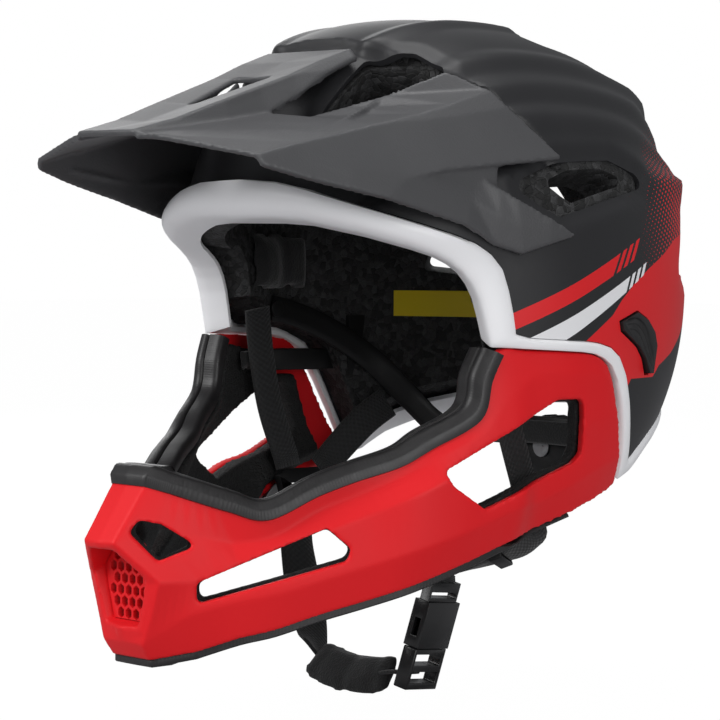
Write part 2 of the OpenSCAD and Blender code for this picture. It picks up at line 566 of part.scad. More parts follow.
module guard_strip() {
  color(rubber) bar_sweep(turned(mirrored([for (i = [0:strip_last]) strip_ring(i)])));
}

// Latches: a tongue on the guard slides into a socket in the foam; a button's hook holds it
tongue_x = 84 + wider;     // inner face of the tongue
tongue_z = -17;            // middle level of the tongue
socket_front = 24;         // y at which the socket starts
tongue_end = socket_front - 8.5 + tongue_reach;
stem_y = tongue_end - 5.5;
stem_z = -1;
hook_w = 4;
hook_d = 2;                // depth of the tongue's notch for the hook
arm_root = [tongue_x + 14, -18];      // where the arm meets the guard's inner wall
module tongue() {
  x1 = tongue_x + tongue_t;
  difference() {
    translate([0, 0, tongue_z - tongue_h / 2]) linear_extrude(height = tongue_h)
      polygon([arm_root, [arm_root[0], 1], [x1, 14], [x1, tongue_end], [tongue_x, tongue_end], [tongue_x, 9],
        arm_root - [6, 0]]);
    translate([tongue_x - 1, stem_y - hook_w / 2 - 0.5, tongue_z - tongue_h / 2 - 1])
      cube([1 + hook_d, hook_w + 1, tongue_h + 2]);
  }
}
module arm_pocket() {
  translate([tongue_x + 2, -22, tongue_z - tongue_h / 2 - 2]) cube([14, 30, tongue_h + 4]);
}
socket_x = [tongue_x - 7.4, tongue_x + tongue_t + 1.6];
socket_z = [tongue_z - tongue_h / 2 - 3, 4];
socket_back = tongue_end + 3;
spring_r = 3.6;
spring_wire = 0.8;
stem_r = 2.4;
module latch_socket() {
  difference() {
    translate([socket_x[0], socket_front, socket_z[0]])
      cube([socket_x[1] - socket_x[0], socket_back - socket_front, socket_z[1] - socket_z[0]]);
    translate([tongue_x - tongue_gap, socket_front - 1, tongue_z - tongue_h / 2 - tongue_gap])
      cube([tongue_t + 2 * tongue_gap, tongue_end + 0.6 - socket_front + 1, tongue_h + 2 * tongue_gap]);
    translate([socket_x[0] + 1.2, stem_y - stem_r - 0.4, tongue_z - tongue_h / 2 - tongue_gap])
      cube([6.2 + hook_d + 0.8, 2 * stem_r + 0.8,
        stem_z + stem_r + 0.6 - tongue_z + tongue_h / 2 + tongue_gap]);
    translate([tongue_x - 2, stem_y, stem_z]) rotate([0, 90, 0]) cylinder(h = 20, r = stem_r + 0.4, $fn = 16);
    translate([socket_x[1] - 4.6, stem_y, stem_z]) rotate([0, 90, 0])
      cylinder(h = 20, r = spring_r + spring_wire / 2 + 0.3, $fn = 16);
  }
}
module socket_pocket() {
  translate([socket_x[0] - 0.4, socket_front - 6, socket_z[0] - 0.4])
    cube([40, socket_back - socket_front + 6.4, socket_z[1] - socket_z[0] + 0.8]);
  translate([tongue_x + 6, 12, -22]) cube([30, 40, 38]);
  translate([tongue_x - 2, 6, tongue_z - tongue_h / 2 - 2]) cube([30, 20, tongue_h + 4]);
}
// Outline of the button's tab, seen from the side, about its own middle
tab_mid = [100.4 + wider, 30, -2];
tab_turn = 11;
tab_shape = [[-14, 8], [-1, 12], [8, 8.5], [14, 3], [16, -3], [13, -15], [10, -15], [6, -8], [0, -2.5],
  [-13, 4.5]];
tab_t = 3;
module on_tab() { translate(tab_mid) rotate([0, 0, tab_turn]) rotate([90, 0, 90]) children(); }
// The button travels straight in, so its turned tab needs room at its edges
pocket_gap = 0.4 + button_travel * sin(tab_turn);
module latch_pocket() {
  on_tab() translate([0, 0, -8]) linear_extrude(height = 16) offset(delta = pocket_gap) polygon(tab_shape);
}
flange_x = socket_x[1] + 3.4;
module latch_button() {
  on_tab() translate([0, 0, -1.4]) linear_extrude(height = tab_t) polygon(tab_shape);
  translate([tongue_x - 2.4, stem_y, stem_z]) rotate([0, 90, 0])
    cylinder(h = tab_mid[0] - tongue_x + 1, r = stem_r, $fn = 16);
  translate([flange_x, stem_y, stem_z]) rotate([0, 90, 0])
    cylinder(h = 1.2, r = spring_r + spring_wire / 2, $fn = 16);
  translate([tongue_x - 2.6 - tongue_gap, stem_y - hook_w / 2, tongue_z - 3])
    cube([2.6, hook_w, stem_z + stem_r - tongue_z + 3]);
}
// Coil drawn at the length that the pressed button leaves it
coil_turns = 3;
coil_steps = 8;
module latch_spring() {
  len_free = flange_x - button_travel - (socket_x[1] - 4.6) - 0.5;
  pitch = (len_free - spring_wire) / coil_turns;
  n = coil_turns * coil_steps;
  x0 = socket_x[1] - 4.4 + spring_wire / 2;
  bar_sweep([for (i = [0:n]) let (a = i * 360 / coil_steps, x = x0 + pitch * i / coil_steps)
    [for (b = [0:90:270]) let (r = spring_r + spring_wire / 2 * cos(b))
      [x + spring_wire / 2 * sin(b), stem_y + r * cos(a), stem_z + r * sin(a)]]]);
}

// Comfort pads: crowned, drawn in at the rim, with a sewn channel across the middle
pad_gap = 1.6;             // the hook-and-loop dots hold the pads this far off the foam
inner_off = shell_t + foam_gap + liner_t + pad_gap;
function channel(u, channels) = channels == 0 ? 0
  : max([for (c = [1:channels]) ease(1 - abs(u - c / (channels + 1)) * 12)]);
function dome_of(u, v) = sqrt((1 - pow(abs(2 * u - 1), 6)) * (1 - pow(abs(2 * v - 1), 4)));
function pad_rise(u, v, channels) = let (e = dome_of(u, v))
  0.22 + 0.78 * e - 0.4 * e * channel(u, channels);
module pillow(rows, off, h, channels) {
  grid = turned(rows);
  n = len(grid);
  k = len(grid[0]);
  top = [for (i = [0:n - 1], j = [0:k - 1])
    inward(grid[i][j], off + h * pad_rise(i / (n - 1), j / (k - 1), channels))];
  low = [for (r = grid, p = r) inward(p, off)];
  polyhedron(concat(top, low), sheet_faces(n, k));
}
function side_grid(a0, a1, z0, z1, n, k) = [for (i = [0:n]) let (a = lerp(a0, a1, i / n))
  [for (j = [0:k]) skin0(a, lerp(z0, z1, j / k))]];
function crown_z(x, y) = let (a = atan2(x, mid_y - y), r = norm([x, y - mid_y]) / plan_r(a))
  mid_z + crown_h * pow(1 - pow(r, side_n), 1 / side_n);
module crown_pad() {
  color(rubber) pillow([for (y = [-46:11.2:66.1]) [for (x = [18:-6:-18]) [x, y, crown_z(x, y)]]],
    inner_off, pad_t, 3);
}
module brow_pad() { color(rubber) pillow(side_grid(-50, 50, 54, 68, 16, 5), inner_off, pad_t, 5); }
module temple_pad() { color(rubber) pillow(side_grid(65, 97, 13, 50, 8, 7), inner_off, pad_t, 1); }
cheek_t = 3.5;
module cheek_pad() {
  off = guard_t + liner_gap + guard_foam_t + 0.8;
  color(rubber) pillow(side_grid(68, 87, -29, -17, 8, 5), off, cheek_t, 1);
}

// Flat webbing swept along hand-chosen points; wide is the width's rough direction at each point
function web_dir(pts, i) = unit(pts[min(i + 1, len(pts) - 1)] - pts[max(i - 1, 0)]);
function web_rings(pts, wide, w, t) = [for (i = [0:len(pts) - 1]) let (d = web_dir(pts, i),
    wv = unit(wide[i] - d * (d * wide[i])), nv = cross(d, wv))
  [for (c = [[1, 1], [-1, 1], [-1, -1], [1, -1]]) pts[i] + wv * c[0] * w / 2 + nv * c[1] * t / 2]];
module webbing(pts, wide, w = web_w, t = web_t) {
  color(web_col) bar_sweep(turned(web_rings(pts, wide, w, t)));
}

y_wide = [0, 1, 0];
front_route = spread_all([[75.4, -36, 8], [76.6, -32.4, -12], [77.2, -26, -38], [76.6, -17, -60.6],
  [76.4, -15.6, -65], [76.3, -15.2, -67]]);
rear_marks = spread_all([[66.2, 40, -38], [69.6, 27, -47], [75.2, 11.5, -63.5], [76.2, 5.6, -69.4]]);
rear_route = [for (p = rear_marks) p + [0, longer * max(0, p[1] - mid_y - 18), 0]];
rear_wide = [[0.37, -0.58, 0.8], [0.37, -0.58, 0.8], [0.15, -0.58, 0.8], [0, -0.7, 0.7]];
divider_mid = spread([76, -9, -76]);
module front_strap() { webbing(front_route, [for (p = front_route) y_wide], web_w - 4); }
module rear_strap() { webbing(rear_route, rear_wide, web_w - 4); }
module strap_divider() {
  translate(divider_mid) rotate([0, 8, 0]) difference() {
    rotate([90, 0, 90]) linear_extrude(height = 4, center = true)
      polygon([[-13, 5], [-9, 8], [12, 8], [16, 4], [8, -7], [-10, -7]]);
    translate([0, -4, 0]) cube([6, 14, 2.4], center = true);
  }
}
buckle_c = [40, -38, -137];
buckle_u = unit([0.2, 0.15, 0.96]);
buckle_w_dir = unit(cross(cross(buckle_u, [-0.17, 0.985, 0]), buckle_u));
buckle_n_dir = cross(buckle_u, buckle_w_dir);
module on_buckle() {
  multmatrix([for (r = [0:2]) [buckle_w_dir[r], buckle_n_dir[r], buckle_u[r], buckle_c[r]]]) children();
}
left_route = concat(spread_all([[76.3, -10, -85], [76, -10.4, -88], [70, -17, -95]]), [[56, -27.5, -102],
  buckle_c + buckle_u * (socket_len + 9), buckle_c + buckle_u * (socket_len + 5)]);
left_wide = [y_wide, y_wide, y_wide, [0, 1, 0.1], buckle_w_dir, buckle_w_dir];
right_route = concat(spread_all([[-76.3, -10, -85], [-76, -10.4, -88], [-69, -16, -101]]), [[-59, -21, -120],
  [-48.5, -26.5, -134], [-39, -32.6, -144.8], [-32, -37, -148.4]]);
right_wide = [y_wide, y_wide, y_wide, [0.2, 1, 0], [0.2, 0.95, -0.2], [0.1, 0.8, -0.5], [0, 0.7, -0.7]];
// The strap comes out of the chin pad and turns to the plug's bars
plug_route = [[24.7, -42.5, -149.8], [28, -42.3, -149.1], [33, -40.9, -149.2]];
plug_wide = [for (p = plug_route) buckle_w_dir];
module chin_strap_left() { webbing(left_route, left_wide); }
module chin_strap_right() {
  webbing(right_route, right_wide);
  webbing(plug_route, plug_wide);
}
chin_route = [[-31, -38, -149.5], [-21, -39.5, -152], [-9, -41, -153.5], [3, -42, -153.5],
  [14, -42.5, -152.5], [24, -42.5, -150]];
chin_half = [[0.5, 0.12], [0.36, 0.42], [0, 0.5], [-0.36, 0.42], [-0.5, 0.12]];
chin_t = 6.5;
module chin_pad() {
  wide = [0, 0.6, 0.78];
  n = 12;
  last = len(chin_route) - 1;
  pts = [for (i = [0:n]) let (s = i / n * last, k = min(floor(s), last - 1))
    lerp(chin_route[k], chin_route[k + 1], s - k)];
  shape = concat(chin_half, [for (c = chin_half) -c]);
  color(web_col) bar_sweep(turned([for (i = [0:n])
    let (d = web_dir(pts, i), wv = unit(wide - d * (d * wide)), nv = cross(d, wv),
      e = sqrt(max(0.05, 1 - pow(abs(2 * i / n - 1), 8))), w = (web_w + 2) * (0.84 + 0.16 * e),
      t = chin_t * (0.6 + 0.4 * e) * (i % 4 == 2 ? 0.8 : 1))
    [for (c = shape) pts[i] + wv * w * c[0] + nv * t * c[1]]]));
}

// Buckle: the plug's three fingers slide into the socket
finger_len = 16;
finger_w = 4;
module buckle_socket() {
  in_w = buckle_w - 5;
  in_t = buckle_t - 4;
  color(rubber) on_buckle() difference() {
    union() {
      translate([-buckle_w / 2, -buckle_t / 2, 0]) cube([buckle_w, buckle_t, socket_len - 4]);
      translate([-buckle_w / 2 + 1, -2.5, socket_len - 4.5]) cube([buckle_w - 2, 5, 9]);
    }
    translate([-in_w / 2, -in_t / 2, -1]) cube([in_w, in_t, finger_len + 2.4]);
    for (s = [-1, 1]) translate([s * buckle_w / 2 - 3, -in_t / 2 + 0.4, 5]) cube([6, in_t - 0.8, 8]);
    translate([-web_w / 2 - 0.5, -1.1 , socket_len + 1.6]) cube([web_w + 1, 2.2, 10]);
    translate([-web_w / 2 - 0.5, -4, socket_len - 2.4]) cube([web_w + 1, 8, 2.6]);
  }
}
module buckle_plug() {
  in_w = buckle_w - 5 - 2 * buckle_gap;
  in_t = buckle_t - 4 - 2 * buckle_gap;
  color(rubber) on_buckle() {
    difference() {
      translate([-buckle_w / 2, -buckle_t / 2 + 0.5, -plug_len])
        cube([buckle_w, buckle_t - 1, plug_len - buckle_gap]);
      translate([-web_w / 2 - 0.5, -buckle_t, -plug_len + 3]) cube([web_w + 1, 2 * buckle_t, 5]);
      translate([-web_w / 2 - 0.5, -buckle_t, -plug_len + 11]) cube([web_w + 1, 2 * buckle_t, 5]);
    }
    for (x = [-in_w / 2, -finger_w / 2, in_w / 2 - finger_w]) translate([x, -in_t / 2, -1])
      cube([finger_w, in_t, finger_len + 1]);
  }
}
// Sliding keeper on the left strap, square to the webbing
keeper_at = 0.25;
module strap_keeper() {
  d = unit(left_route[3] - left_route[2]);
  wv = unit(y_wide - d * (d * y_wide));
  nv = cross(d, wv);
  p = lerp(left_route[2], left_route[3], keeper_at);
  color(rubber) multmatrix([for (r = [0:2]) [wv[r], nv[r], d[r], p[r]]]) difference() {
    cube([web_w + 5, 6, 6], center = true);
    cube([web_w + 1.4, 3.4, 8], center = true);
  }
}

// Fit system
band_route = concat(spread_all([[76.2, -26, 8], [78.4, -10, 5], [77.4, 12, -3], [72, 34, -17], [60, 47, -34]]),
  [[47, 52, -46.5], [38.8, 55.5, -50], [38, 61, -50], [38, 78, -50]]);
module headband() {
  wide = [for (p = band_route) [0, 0, 1]];
  color(rubber) both() bar_sweep(turned(web_rings(band_route, wide, band_w, band_t)));
}
module headband_anchors() {
  color(rubber) both() translate(spread([74.8, -24, 8])) rotate([0, 90, -7])
    cylinder(h = 1.2, r = 4, center = true, $fn = 16);
}
cradle_y = 79;
dial_z = -57;
module cradle_housing() {
  color(rubber) difference() {
    union() {
      translate([-41, cradle_y, -57]) cube([82, 3.2, 14]);
      translate([-20, cradle_y - 0.5, dial_z - 14]) cube([40, 4.4, 28]);
      for (s = [-1, 1]) translate([s * 38 - 3, cradle_y - 17, -57]) cube([6, 20, 14]);
    }
    for (s = [-1, 1]) translate([s * 38 - band_t / 2 - 1, cradle_y - 18, -50 - band_w / 2 - 0.4])
      cube([band_t + 2, 18, band_w + 0.8]);
    translate([0, cradle_y - 5, dial_z]) rotate([-90, 0, 0]) cylinder(h = 20, d = 6.4, $fn = 32);
  }
}
module fit_dial() {
  color(rubber) translate([0, cradle_y + 4.4, dial_z]) rotate([-90, 0, 0]) difference() {
    linear_extrude(height = dial_t)
      polygon([for (i = [0:35]) (dial_r - (i % 3 == 0 ? 1.2 : 0)) * [cos(i * 10), sin(i * 10)]]);
    translate([0, 0, -1]) cylinder(h = dial_t - 1, d = 6.2, $fn = 32);
  }
}
module dial_screw() {
  color("silver") translate([0, cradle_y - 1.4, dial_z]) rotate([-90, 0, 0]) {
    cylinder(h = 0.6, d = 10, $fn = 24);
    cylinder(h = 5.8 + dial_t - 2.2, d = 5.6, $fn = 24);
  }
}
module nape_pad() {
  color(rubber) translate([0, cradle_y - 4, -50]) rotate([90, 0, 0]) linear_extrude(height = 5, center = true)
    polygon([[-32, 0], [-28, 6], [28, 6], [32, 0], [28, -6], [-28, -6]]);
}
// Plate behind the top of a strap, over the first part of its run
module strap_anchor(route, wide, k) {
  out = [web_t / 2 + 0.7, 0, 0];
  run = [for (t = [0.08, k]) lerp(route[0], route[1], t) + out];
  bar_sweep(turned(web_rings(run, wide, 8, 0.8)));
}
module strap_anchors() {
  color(rubber) both() {
    strap_anchor(front_route, [y_wide, y_wide], 0.3);
    strap_anchor(rear_route, rear_wide, 0.45);
  }
}
module inner_label() {
  color("#c9b12a") pillow(side_grid(-154, -130, -2, 13.5, 6, 2), inner_off + 0.6, 0.5, 0);
}

upper_shell();
lower_shell();
eps_liner();
visor();
visor_pegs();
visor_grommets();
chin_guard();
chin_guard_liner();
guard_bead();
guard_strip();
front_grille();
color(rubber) tongue();  // guard_tongue_left
color(rubber) mirror([1, 0, 0]) tongue();  // guard_tongue_right
color(rubber) latch_socket();  // latch_socket_left
color(rubber) mirror([1, 0, 0]) latch_socket();  // latch_socket_right
color(rubber) latch_button();  // latch_button_left
color(rubber) mirror([1, 0, 0]) latch_button();  // latch_button_right
color("silver") latch_spring();  // latch_spring_left
color("silver") mirror([1, 0, 0]) latch_spring();  // latch_spring_right
crown_pad();
brow_pad();
temple_pad();  // temple_pad_left
mirror([1, 0, 0]) temple_pad();  // temple_pad_right
cheek_pad();  // cheek_pad_left
mirror([1, 0, 0]) cheek_pad();  // cheek_pad_right
headband();
headband_anchors();
cradle_housing();
nape_pad();
fit_dial();
dial_screw();
front_strap();  // front_strap_left
mirror([1, 0, 0]) front_strap();  // front_strap_right
rear_strap();  // rear_strap_left
mirror([1, 0, 0]) rear_strap();  // rear_strap_right
color(rubber) strap_divider();  // strap_divider_left
color(rubber) mirror([1, 0, 0]) strap_divider();  // strap_divider_right
strap_anchors();
chin_strap_left();
chin_strap_right();
chin_pad();
strap_keeper();
buckle_socket();
buckle_plug();
inner_label();
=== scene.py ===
# %% [markdown]
# # A full-face mountain bike helmet
# The helmet is a painted shell over a foam liner, with a visor on pegs and a chin guard that slides off.
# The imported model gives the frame: each of its solids already lies where the real piece lies.
# Here each piece gets its real surface, and pieces with flowing shapes are modelled again, finer.

# %% Load the frame and keep its box
import math
import bpy
from mathutils import Matrix, Vector


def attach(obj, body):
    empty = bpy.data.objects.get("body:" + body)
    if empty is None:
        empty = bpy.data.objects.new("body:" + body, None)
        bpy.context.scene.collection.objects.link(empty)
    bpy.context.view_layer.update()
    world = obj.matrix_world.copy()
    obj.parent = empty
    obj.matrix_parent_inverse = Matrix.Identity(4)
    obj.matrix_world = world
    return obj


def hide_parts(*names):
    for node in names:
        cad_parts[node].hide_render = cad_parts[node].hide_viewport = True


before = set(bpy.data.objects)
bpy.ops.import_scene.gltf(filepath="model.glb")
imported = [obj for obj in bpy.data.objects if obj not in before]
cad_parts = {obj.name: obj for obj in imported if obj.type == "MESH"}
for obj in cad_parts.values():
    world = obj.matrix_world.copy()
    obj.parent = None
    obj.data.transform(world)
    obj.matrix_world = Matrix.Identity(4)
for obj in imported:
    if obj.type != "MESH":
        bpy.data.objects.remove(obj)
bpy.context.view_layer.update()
bpy.ops.object.select_all(action="DESELECT")
print("solids:", len(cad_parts))
MM = 1000  # millimetres in a metre: the tables are in millimetres, and Blender's lengths in metres

# %% [markdown]
# ## Camera
# The photograph was taken from the helmet's front left, almost level, with a long lens.
# The camera is placed by its turn, rise, roll and distance, so it can be compared with the photograph.

# %% Place the camera
PICTURE, FOCAL, SENSOR = 720, 2823, 36  # pixels, pixels and millimetres
AWAY, LEFTWARDS, DOWN = 1286, 30, 14  # millimetres from the helmet's origin
turn, rise, roll = math.radians(46.5), math.radians(2.6), math.radians(0.5)
back = Vector((math.sin(turn) * math.cos(rise), -math.cos(turn) * math.cos(rise), math.sin(rise)))
level = Vector((math.cos(turn), math.sin(turn), 0))
upright = back.cross(level)
right = level * math.cos(roll) + upright * math.sin(roll)
up = upright * math.cos(roll) - level * math.sin(roll)
bpy.ops.object.camera_add()
camera = bpy.context.object
camera.matrix_world = Matrix((right, up, back)).transposed().to_4x4()
camera.location = (right * -LEFTWARDS + up * -DOWN + back * AWAY) / MM
camera.data.lens = SENSOR * FOCAL / PICTURE
bpy.context.scene.camera = camera
print("camera at", [round(c, 3) for c in camera.location])

# %% [markdown]
# ## Light and floor
# A product photograph on white paper, with soft boxes in front, at the left, above and behind.
# The paper is shown as pure white to the camera, and the shell still sees a grey room in its gloss.

# %% Small helpers for colours and nodes
def linear(code):
    """A linear colour from an sRGB hex value."""
    parts = [int(code[i:i + 2], 16) / 255 for i in (1, 3, 5)]
    return (*[c / 12.92 if c <= 0.04045 else ((c + 0.055) / 1.055) ** 2.4 for c in parts], 1)


def feed(tree, node, inputs):
    """Sets a node's inputs, by name or in order, to values or to links from sockets."""
    for key, value in inputs.items() if isinstance(inputs, dict) else enumerate(inputs):
        if isinstance(value, bpy.types.NodeSocket):
            tree.links.new(value, node.inputs[key])
        else:
            node.inputs[key].default_value = value


def add(tree, kind, inputs=(), out=0, **settings):
    """Adds one node with its settings and inputs, and gives one of its outputs."""
    made = tree.nodes.new("ShaderNode" + kind)
    for key, value in settings.items():
        setattr(made, key, value)
    feed(tree, made, inputs)
    return made.outputs[out] if made.outputs else made


def new_finish(name):
    """A new material, its node tree and its shader."""
    made = bpy.data.materials.new(name)
    made.use_nodes = True
    return made, made.node_tree, made.node_tree.nodes["Principled BSDF"]


def coat(tree, shader, share, dark, light, height, bump, deep, inputs):
    """Two colours mixed by a share, a relief deep millimetres, and the shader's other inputs."""
    mixed = add(tree, "Mix", {0: share, 6: dark, 7: light}, 2, data_type="RGBA")
    relief = add(tree, "Bump", {"Height": height, "Strength": bump, "Distance": deep / MM})
    feed(tree, shader, {"Base Color": mixed, "Normal": relief, **inputs})


# %% The room, white to the camera
world = bpy.data.worlds.new("white studio")
bpy.context.scene.world = world
world.use_nodes = True
sky = world.node_tree
sky.nodes.clear()
rays = add(sky, "LightPath").node.outputs
seen = add(sky, "Math", (rays["Is Camera Ray"], rays["Is Transmission Ray"]), operation="MAXIMUM")
room = add(sky, "Background", {"Color": linear("#f2f4f7"), "Strength": 0.3})
white = add(sky, "Background", {"Color": (1, 1, 1, 1), "Strength": 1.0})
add(sky, "OutputWorld", {"Surface": add(sky, "MixShader", (seen, room, white))})
bpy.context.scene.view_settings.view_transform = "Standard"
helmet_middle = Vector((0, -0.02, 0))


# %% Soft boxes
def soft_box(name, place, size, watts):
    """A square lamp that looks at the helmet's middle, its place and size in metres."""
    bpy.ops.object.light_add(type="AREA", location=place)
    lamp = bpy.context.object
    lamp.name = name
    lamp.data.size = size
    lamp.data.energy = watts
    lamp.rotation_euler = (helmet_middle - Vector(place)).to_track_quat("-Z", "Y").to_euler()


soft_box("key", (-0.6, -1.9, 1.1), 1.2, 34)
soft_box("side", (1.9, -0.7, 0.4), 1.3, 20)
soft_box("top", (0.1, -0.2, 1.9), 1.0, 20)
soft_box("rim", (-1.6, 1.0, 0.7), 1.0, 8)

# %% Paper floor
FLOOR = -0.172  # metres, just under the straps
bpy.ops.mesh.primitive_plane_add(size=12, location=(0, 0, FLOOR))
floor = bpy.context.object
floor.name = "floor"
paper, sheet, matt = new_finish("white paper sweep")
share = add(sheet, "Math", (add(sheet, "LightPath", out="Is Camera Ray"), 0.96), operation="MULTIPLY")
glow = add(sheet, "Emission", {"Color": (1, 1, 1, 1), "Strength": 1.03})
both = add(sheet, "MixShader", (share, matt.outputs[0], glow))
feed(sheet, matt, {"Base Color": linear("#a4a4a6"), "Roughness": 0.9})
feed(sheet, sheet.nodes["Material Output"], {"Surface": both})
floor.data.materials.append(paper)

# %% [markdown]
# ## Finishes
# Most of the helmet is moulded plastic, painted or bare. Moulded plastic has a faint orange-peel or
# spark-eroded grain, so each finish gets a fine bump and a slight change in colour and roughness.


# %% A moulded or painted finish
def moulded(name, colour, rough, grain, bump, change, ior, gloss=0.5):
    """Grain in millimetres; bump, the colour's change and the gloss as shares."""
    made, tree, shader = new_finish(name)
    place = add(tree, "TexCoord", out="Object")
    fine = add(tree, "TexNoise", {"Vector": place, "Scale": MM / grain, "Detail": 3.0})
    wide = add(tree, "TexNoise", {"Vector": place, "Scale": 28.0, "Detail": 2.0})
    dark = (*[c * (1 - change) for c in linear(colour)[:3]], 1)
    spread = add(tree, "MapRange", {"Value": wide, "To Min": rough - 0.06, "To Max": rough + 0.06})
    coat(tree, shader, wide, dark, linear(colour), fine, bump, 0.2,
         {"Roughness": spread, "IOR": ior, "Specular IOR Level": gloss})
    return made


# %% The plain finishes
# Glossy ABS of the edge frame: smooth, bright, with a soft broad gloss
white_abs = moulded("white moulded ABS", "#f0f0f2", 0.34, 1.2, 0.06, 0.02, 1.52)
# Matt red paint of the chin guard
red_paint = moulded("matt red paint on ABS", "#db181f", 0.5, 0.8, 0.12, 0.05, 1.5, 0.22)
# Charcoal nylon of the visor: a grain that sparkles a little
visor_nylon = moulded("charcoal moulded nylon", "#424244", 0.5, 0.9, 0.55, 0.14, 1.5, 0.6)
# Rubber of the release buttons, the dial, and the visor's pegs and grommets
soft_rubber = moulded("black moulded rubber", "#1c1b1c", 0.46, 0.7, 0.35, 0.15, 1.5, 0.4)
# Black polypropylene of the latches, the fit system and the straps' fittings
black_pp = moulded("black polypropylene", "#0e0e0f", 0.46, 0.8, 0.25, 0.1, 1.49, 0.3)
# Glossy acetal of the buckle
acetal = moulded("black acetal", "#161617", 0.28, 0.9, 0.15, 0.1, 1.48)
print("finishes:", len(bpy.data.materials))

# %% [markdown]
# ## The painted shell's finish
# The outer shell is thin polycarbonate with a matt film printed on its back: charcoal at the crown,
# red behind the ears, two stripes with dashes, and a field of red dots that fades into the charcoal.
# All of it is drawn from the place on the shell: the angle round the plan for the borders, and
# straight lines in the side view for the stripes. It is the same on both sides.

# %% Place on the shell, in millimetres
shell_paint, ink, film = new_finish("matt printed polycarbonate")
place = add(ink, "TexCoord", out="Object")
place_mm = add(ink, "VectorMath", {0: place, "Scale": MM}, operation="SCALE")
across, fore, height = add(ink, "SeparateXYZ", (place_mm,)).node.outputs
side = add(ink, "Math", (across,), operation="ABSOLUTE")
ahead = add(ink, "Math", (-11.0, fore), operation="SUBTRACT")
angle = add(ink, "Math", (side, ahead), operation="ARCTAN2")
around = add(ink, "Math", (angle, 180 / math.pi), operation="MULTIPLY")
BACK_START = 121.0  # degrees round the plan: the stripes end before it


# %% The borders between the colours, and the stripes
def joined(how, *masks):
    """Masks joined by one operation: MULTIPLY keeps what all show, MAXIMUM what any shows."""
    whole = masks[0]
    for mask in masks[1:]:
        whole = add(ink, "Math", (whole, mask), operation=how)
    return whole


def border(points, angles=(60, 180), levels=(-90, 150)):
    """The level of a border at each angle round the plan: points are (angle, level)."""
    share = add(ink, "MapRange", {"Value": around, "From Min": angles[0], "From Max": angles[1]}, clamp=False)
    drawn = add(ink, "FloatCurve", {"Value": share})
    curve = drawn.node.mapping
    line = curve.curves[0]
    while len(line.points) < len(points):
        line.points.new(0.5, 0.5)
    for spot, (a, z) in zip(line.points, points):
        spot.location = ((a - angles[0]) / (angles[1] - angles[0]), (z - levels[0]) / (levels[1] - levels[0]))
        spot.handle_type = "VECTOR"
    curve.update()
    return add(ink, "MapRange", {"Value": drawn, "To Min": levels[0], "To Max": levels[1]}, clamp=False)


def band(top, low, lean, stop, pitch, dashes=3, space=0.42):
    """A stripe between two lines, (y, z, level) each, cut on a lean at stop, then dashes."""
    masks = []
    for (y, z, level), test in ((top, "LESS_THAN"), (low, "GREATER_THAN")):
        reach = add(ink, "VectorMath", (place_mm, (0, y, z)), "Value", operation="DOT_PRODUCT")
        masks.append(add(ink, "Math", (reach, level), operation=test))
    along = add(ink, "VectorMath", (place_mm, (0, 1, -lean)), "Value", operation="DOT_PRODUCT")
    step = add(ink, "MapRange", {"Value": along, "From Min": stop, "From Max": stop + pitch}, clamp=False)
    solid = add(ink, "Math", (step, 0.0), operation="LESS_THAN")
    in_step = add(ink, "Math", (step,), operation="FRACT")
    dash = add(ink, "Math", (in_step, space), operation="GREATER_THAN")
    last = add(ink, "Math", (step, float(dashes)), operation="LESS_THAN")
    marks = joined("MAXIMUM", solid, joined("MULTIPLY", dash, last))
    beside = add(ink, "Math", (around, BACK_START), operation="LESS_THAN")
    return joined("MULTIPLY", *masks, marks, beside)


# %% Draw the borders and the stripes
red_top = border([(60, -40), (74, -16), (90, -4), (101.5, 9), (105, 15.5), (110, 22.5), (116.5, 29),
                  (124, 35), (131.5, 42), (148, 49), (165, 53), (180, 54)])
red_low = border([(60, -80), (104, -40), (111, -19), (122, -19), (125, -14), (132.5, -9), (146.5, 5),
                  (160, 12), (180, 15)])
below_top = add(ink, "Math", (height, red_top), operation="LESS_THAN")
above_low = add(ink, "Math", (height, red_low), operation="GREATER_THAN")
red_band = band((-0.39, 0.92, 27.0), (-0.39, 0.92, 20.1), 5 / 9, 10 - 26 * 5 / 9, 4.0)
white_band = band((-0.40, 0.9165, 14.6), (-0.457, 0.889, 7.75), 3 / 7, 20 - 19 * 3 / 7, 3.7)

# %% [markdown]
# ### The field of dots
# A screen of dots on a slanted grid, 2.3 mm apart. Each dot is drawn where the distance to its
# grid cell's middle is less than a radius, and the radius grows towards the red border.

# %% Dots
PITCH, DEGREE = 2.3, 1.75  # millimetres: between dots, and along the shell for each degree of the plan
FIELD_START, LARGEST = 111.0, 0.62  # degrees, and a dot's radius as a share of the pitch
run = add(ink, "Math", (around, DEGREE), operation="MULTIPLY")
slant = add(ink, "CombineXYZ", (run, height))
turned = (0, 0, math.radians(32))
grid = add(ink, "Mapping", {0: slant, "Rotation": turned, "Scale": (1 / PITCH, 1 / PITCH, 1)})
cell = add(ink, "VectorMath", (grid,), operation="FRACTION")
reach = add(ink, "VectorMath", (cell, (0.5, 0.5, 0)), "Value", operation="DISTANCE")
field_edge = border([(60, 150), (111, 150), (112.5, 44), (116, 58), (122, 78), (126, 92), (140, 97),
                     (180, 99)])
under_edge = add(ink, "Math", (field_edge, height), operation="SUBTRACT")
by_depth = add(ink, "MapRange", {"Value": under_edge, "From Max": 62.0, "To Max": LARGEST}, clamp=False)
by_angle = add(ink, "MapRange", {"Value": around, "From Min": FIELD_START, "From Max": FIELD_START + 42,
                                 "To Max": 1.1 * LARGEST}, clamp=False)
radius = joined("MINIMUM", by_angle, by_depth)
dot = add(ink, "Math", (reach, radius), operation="LESS_THAN")
below_edge = add(ink, "Math", (height, field_edge), operation="LESS_THAN")
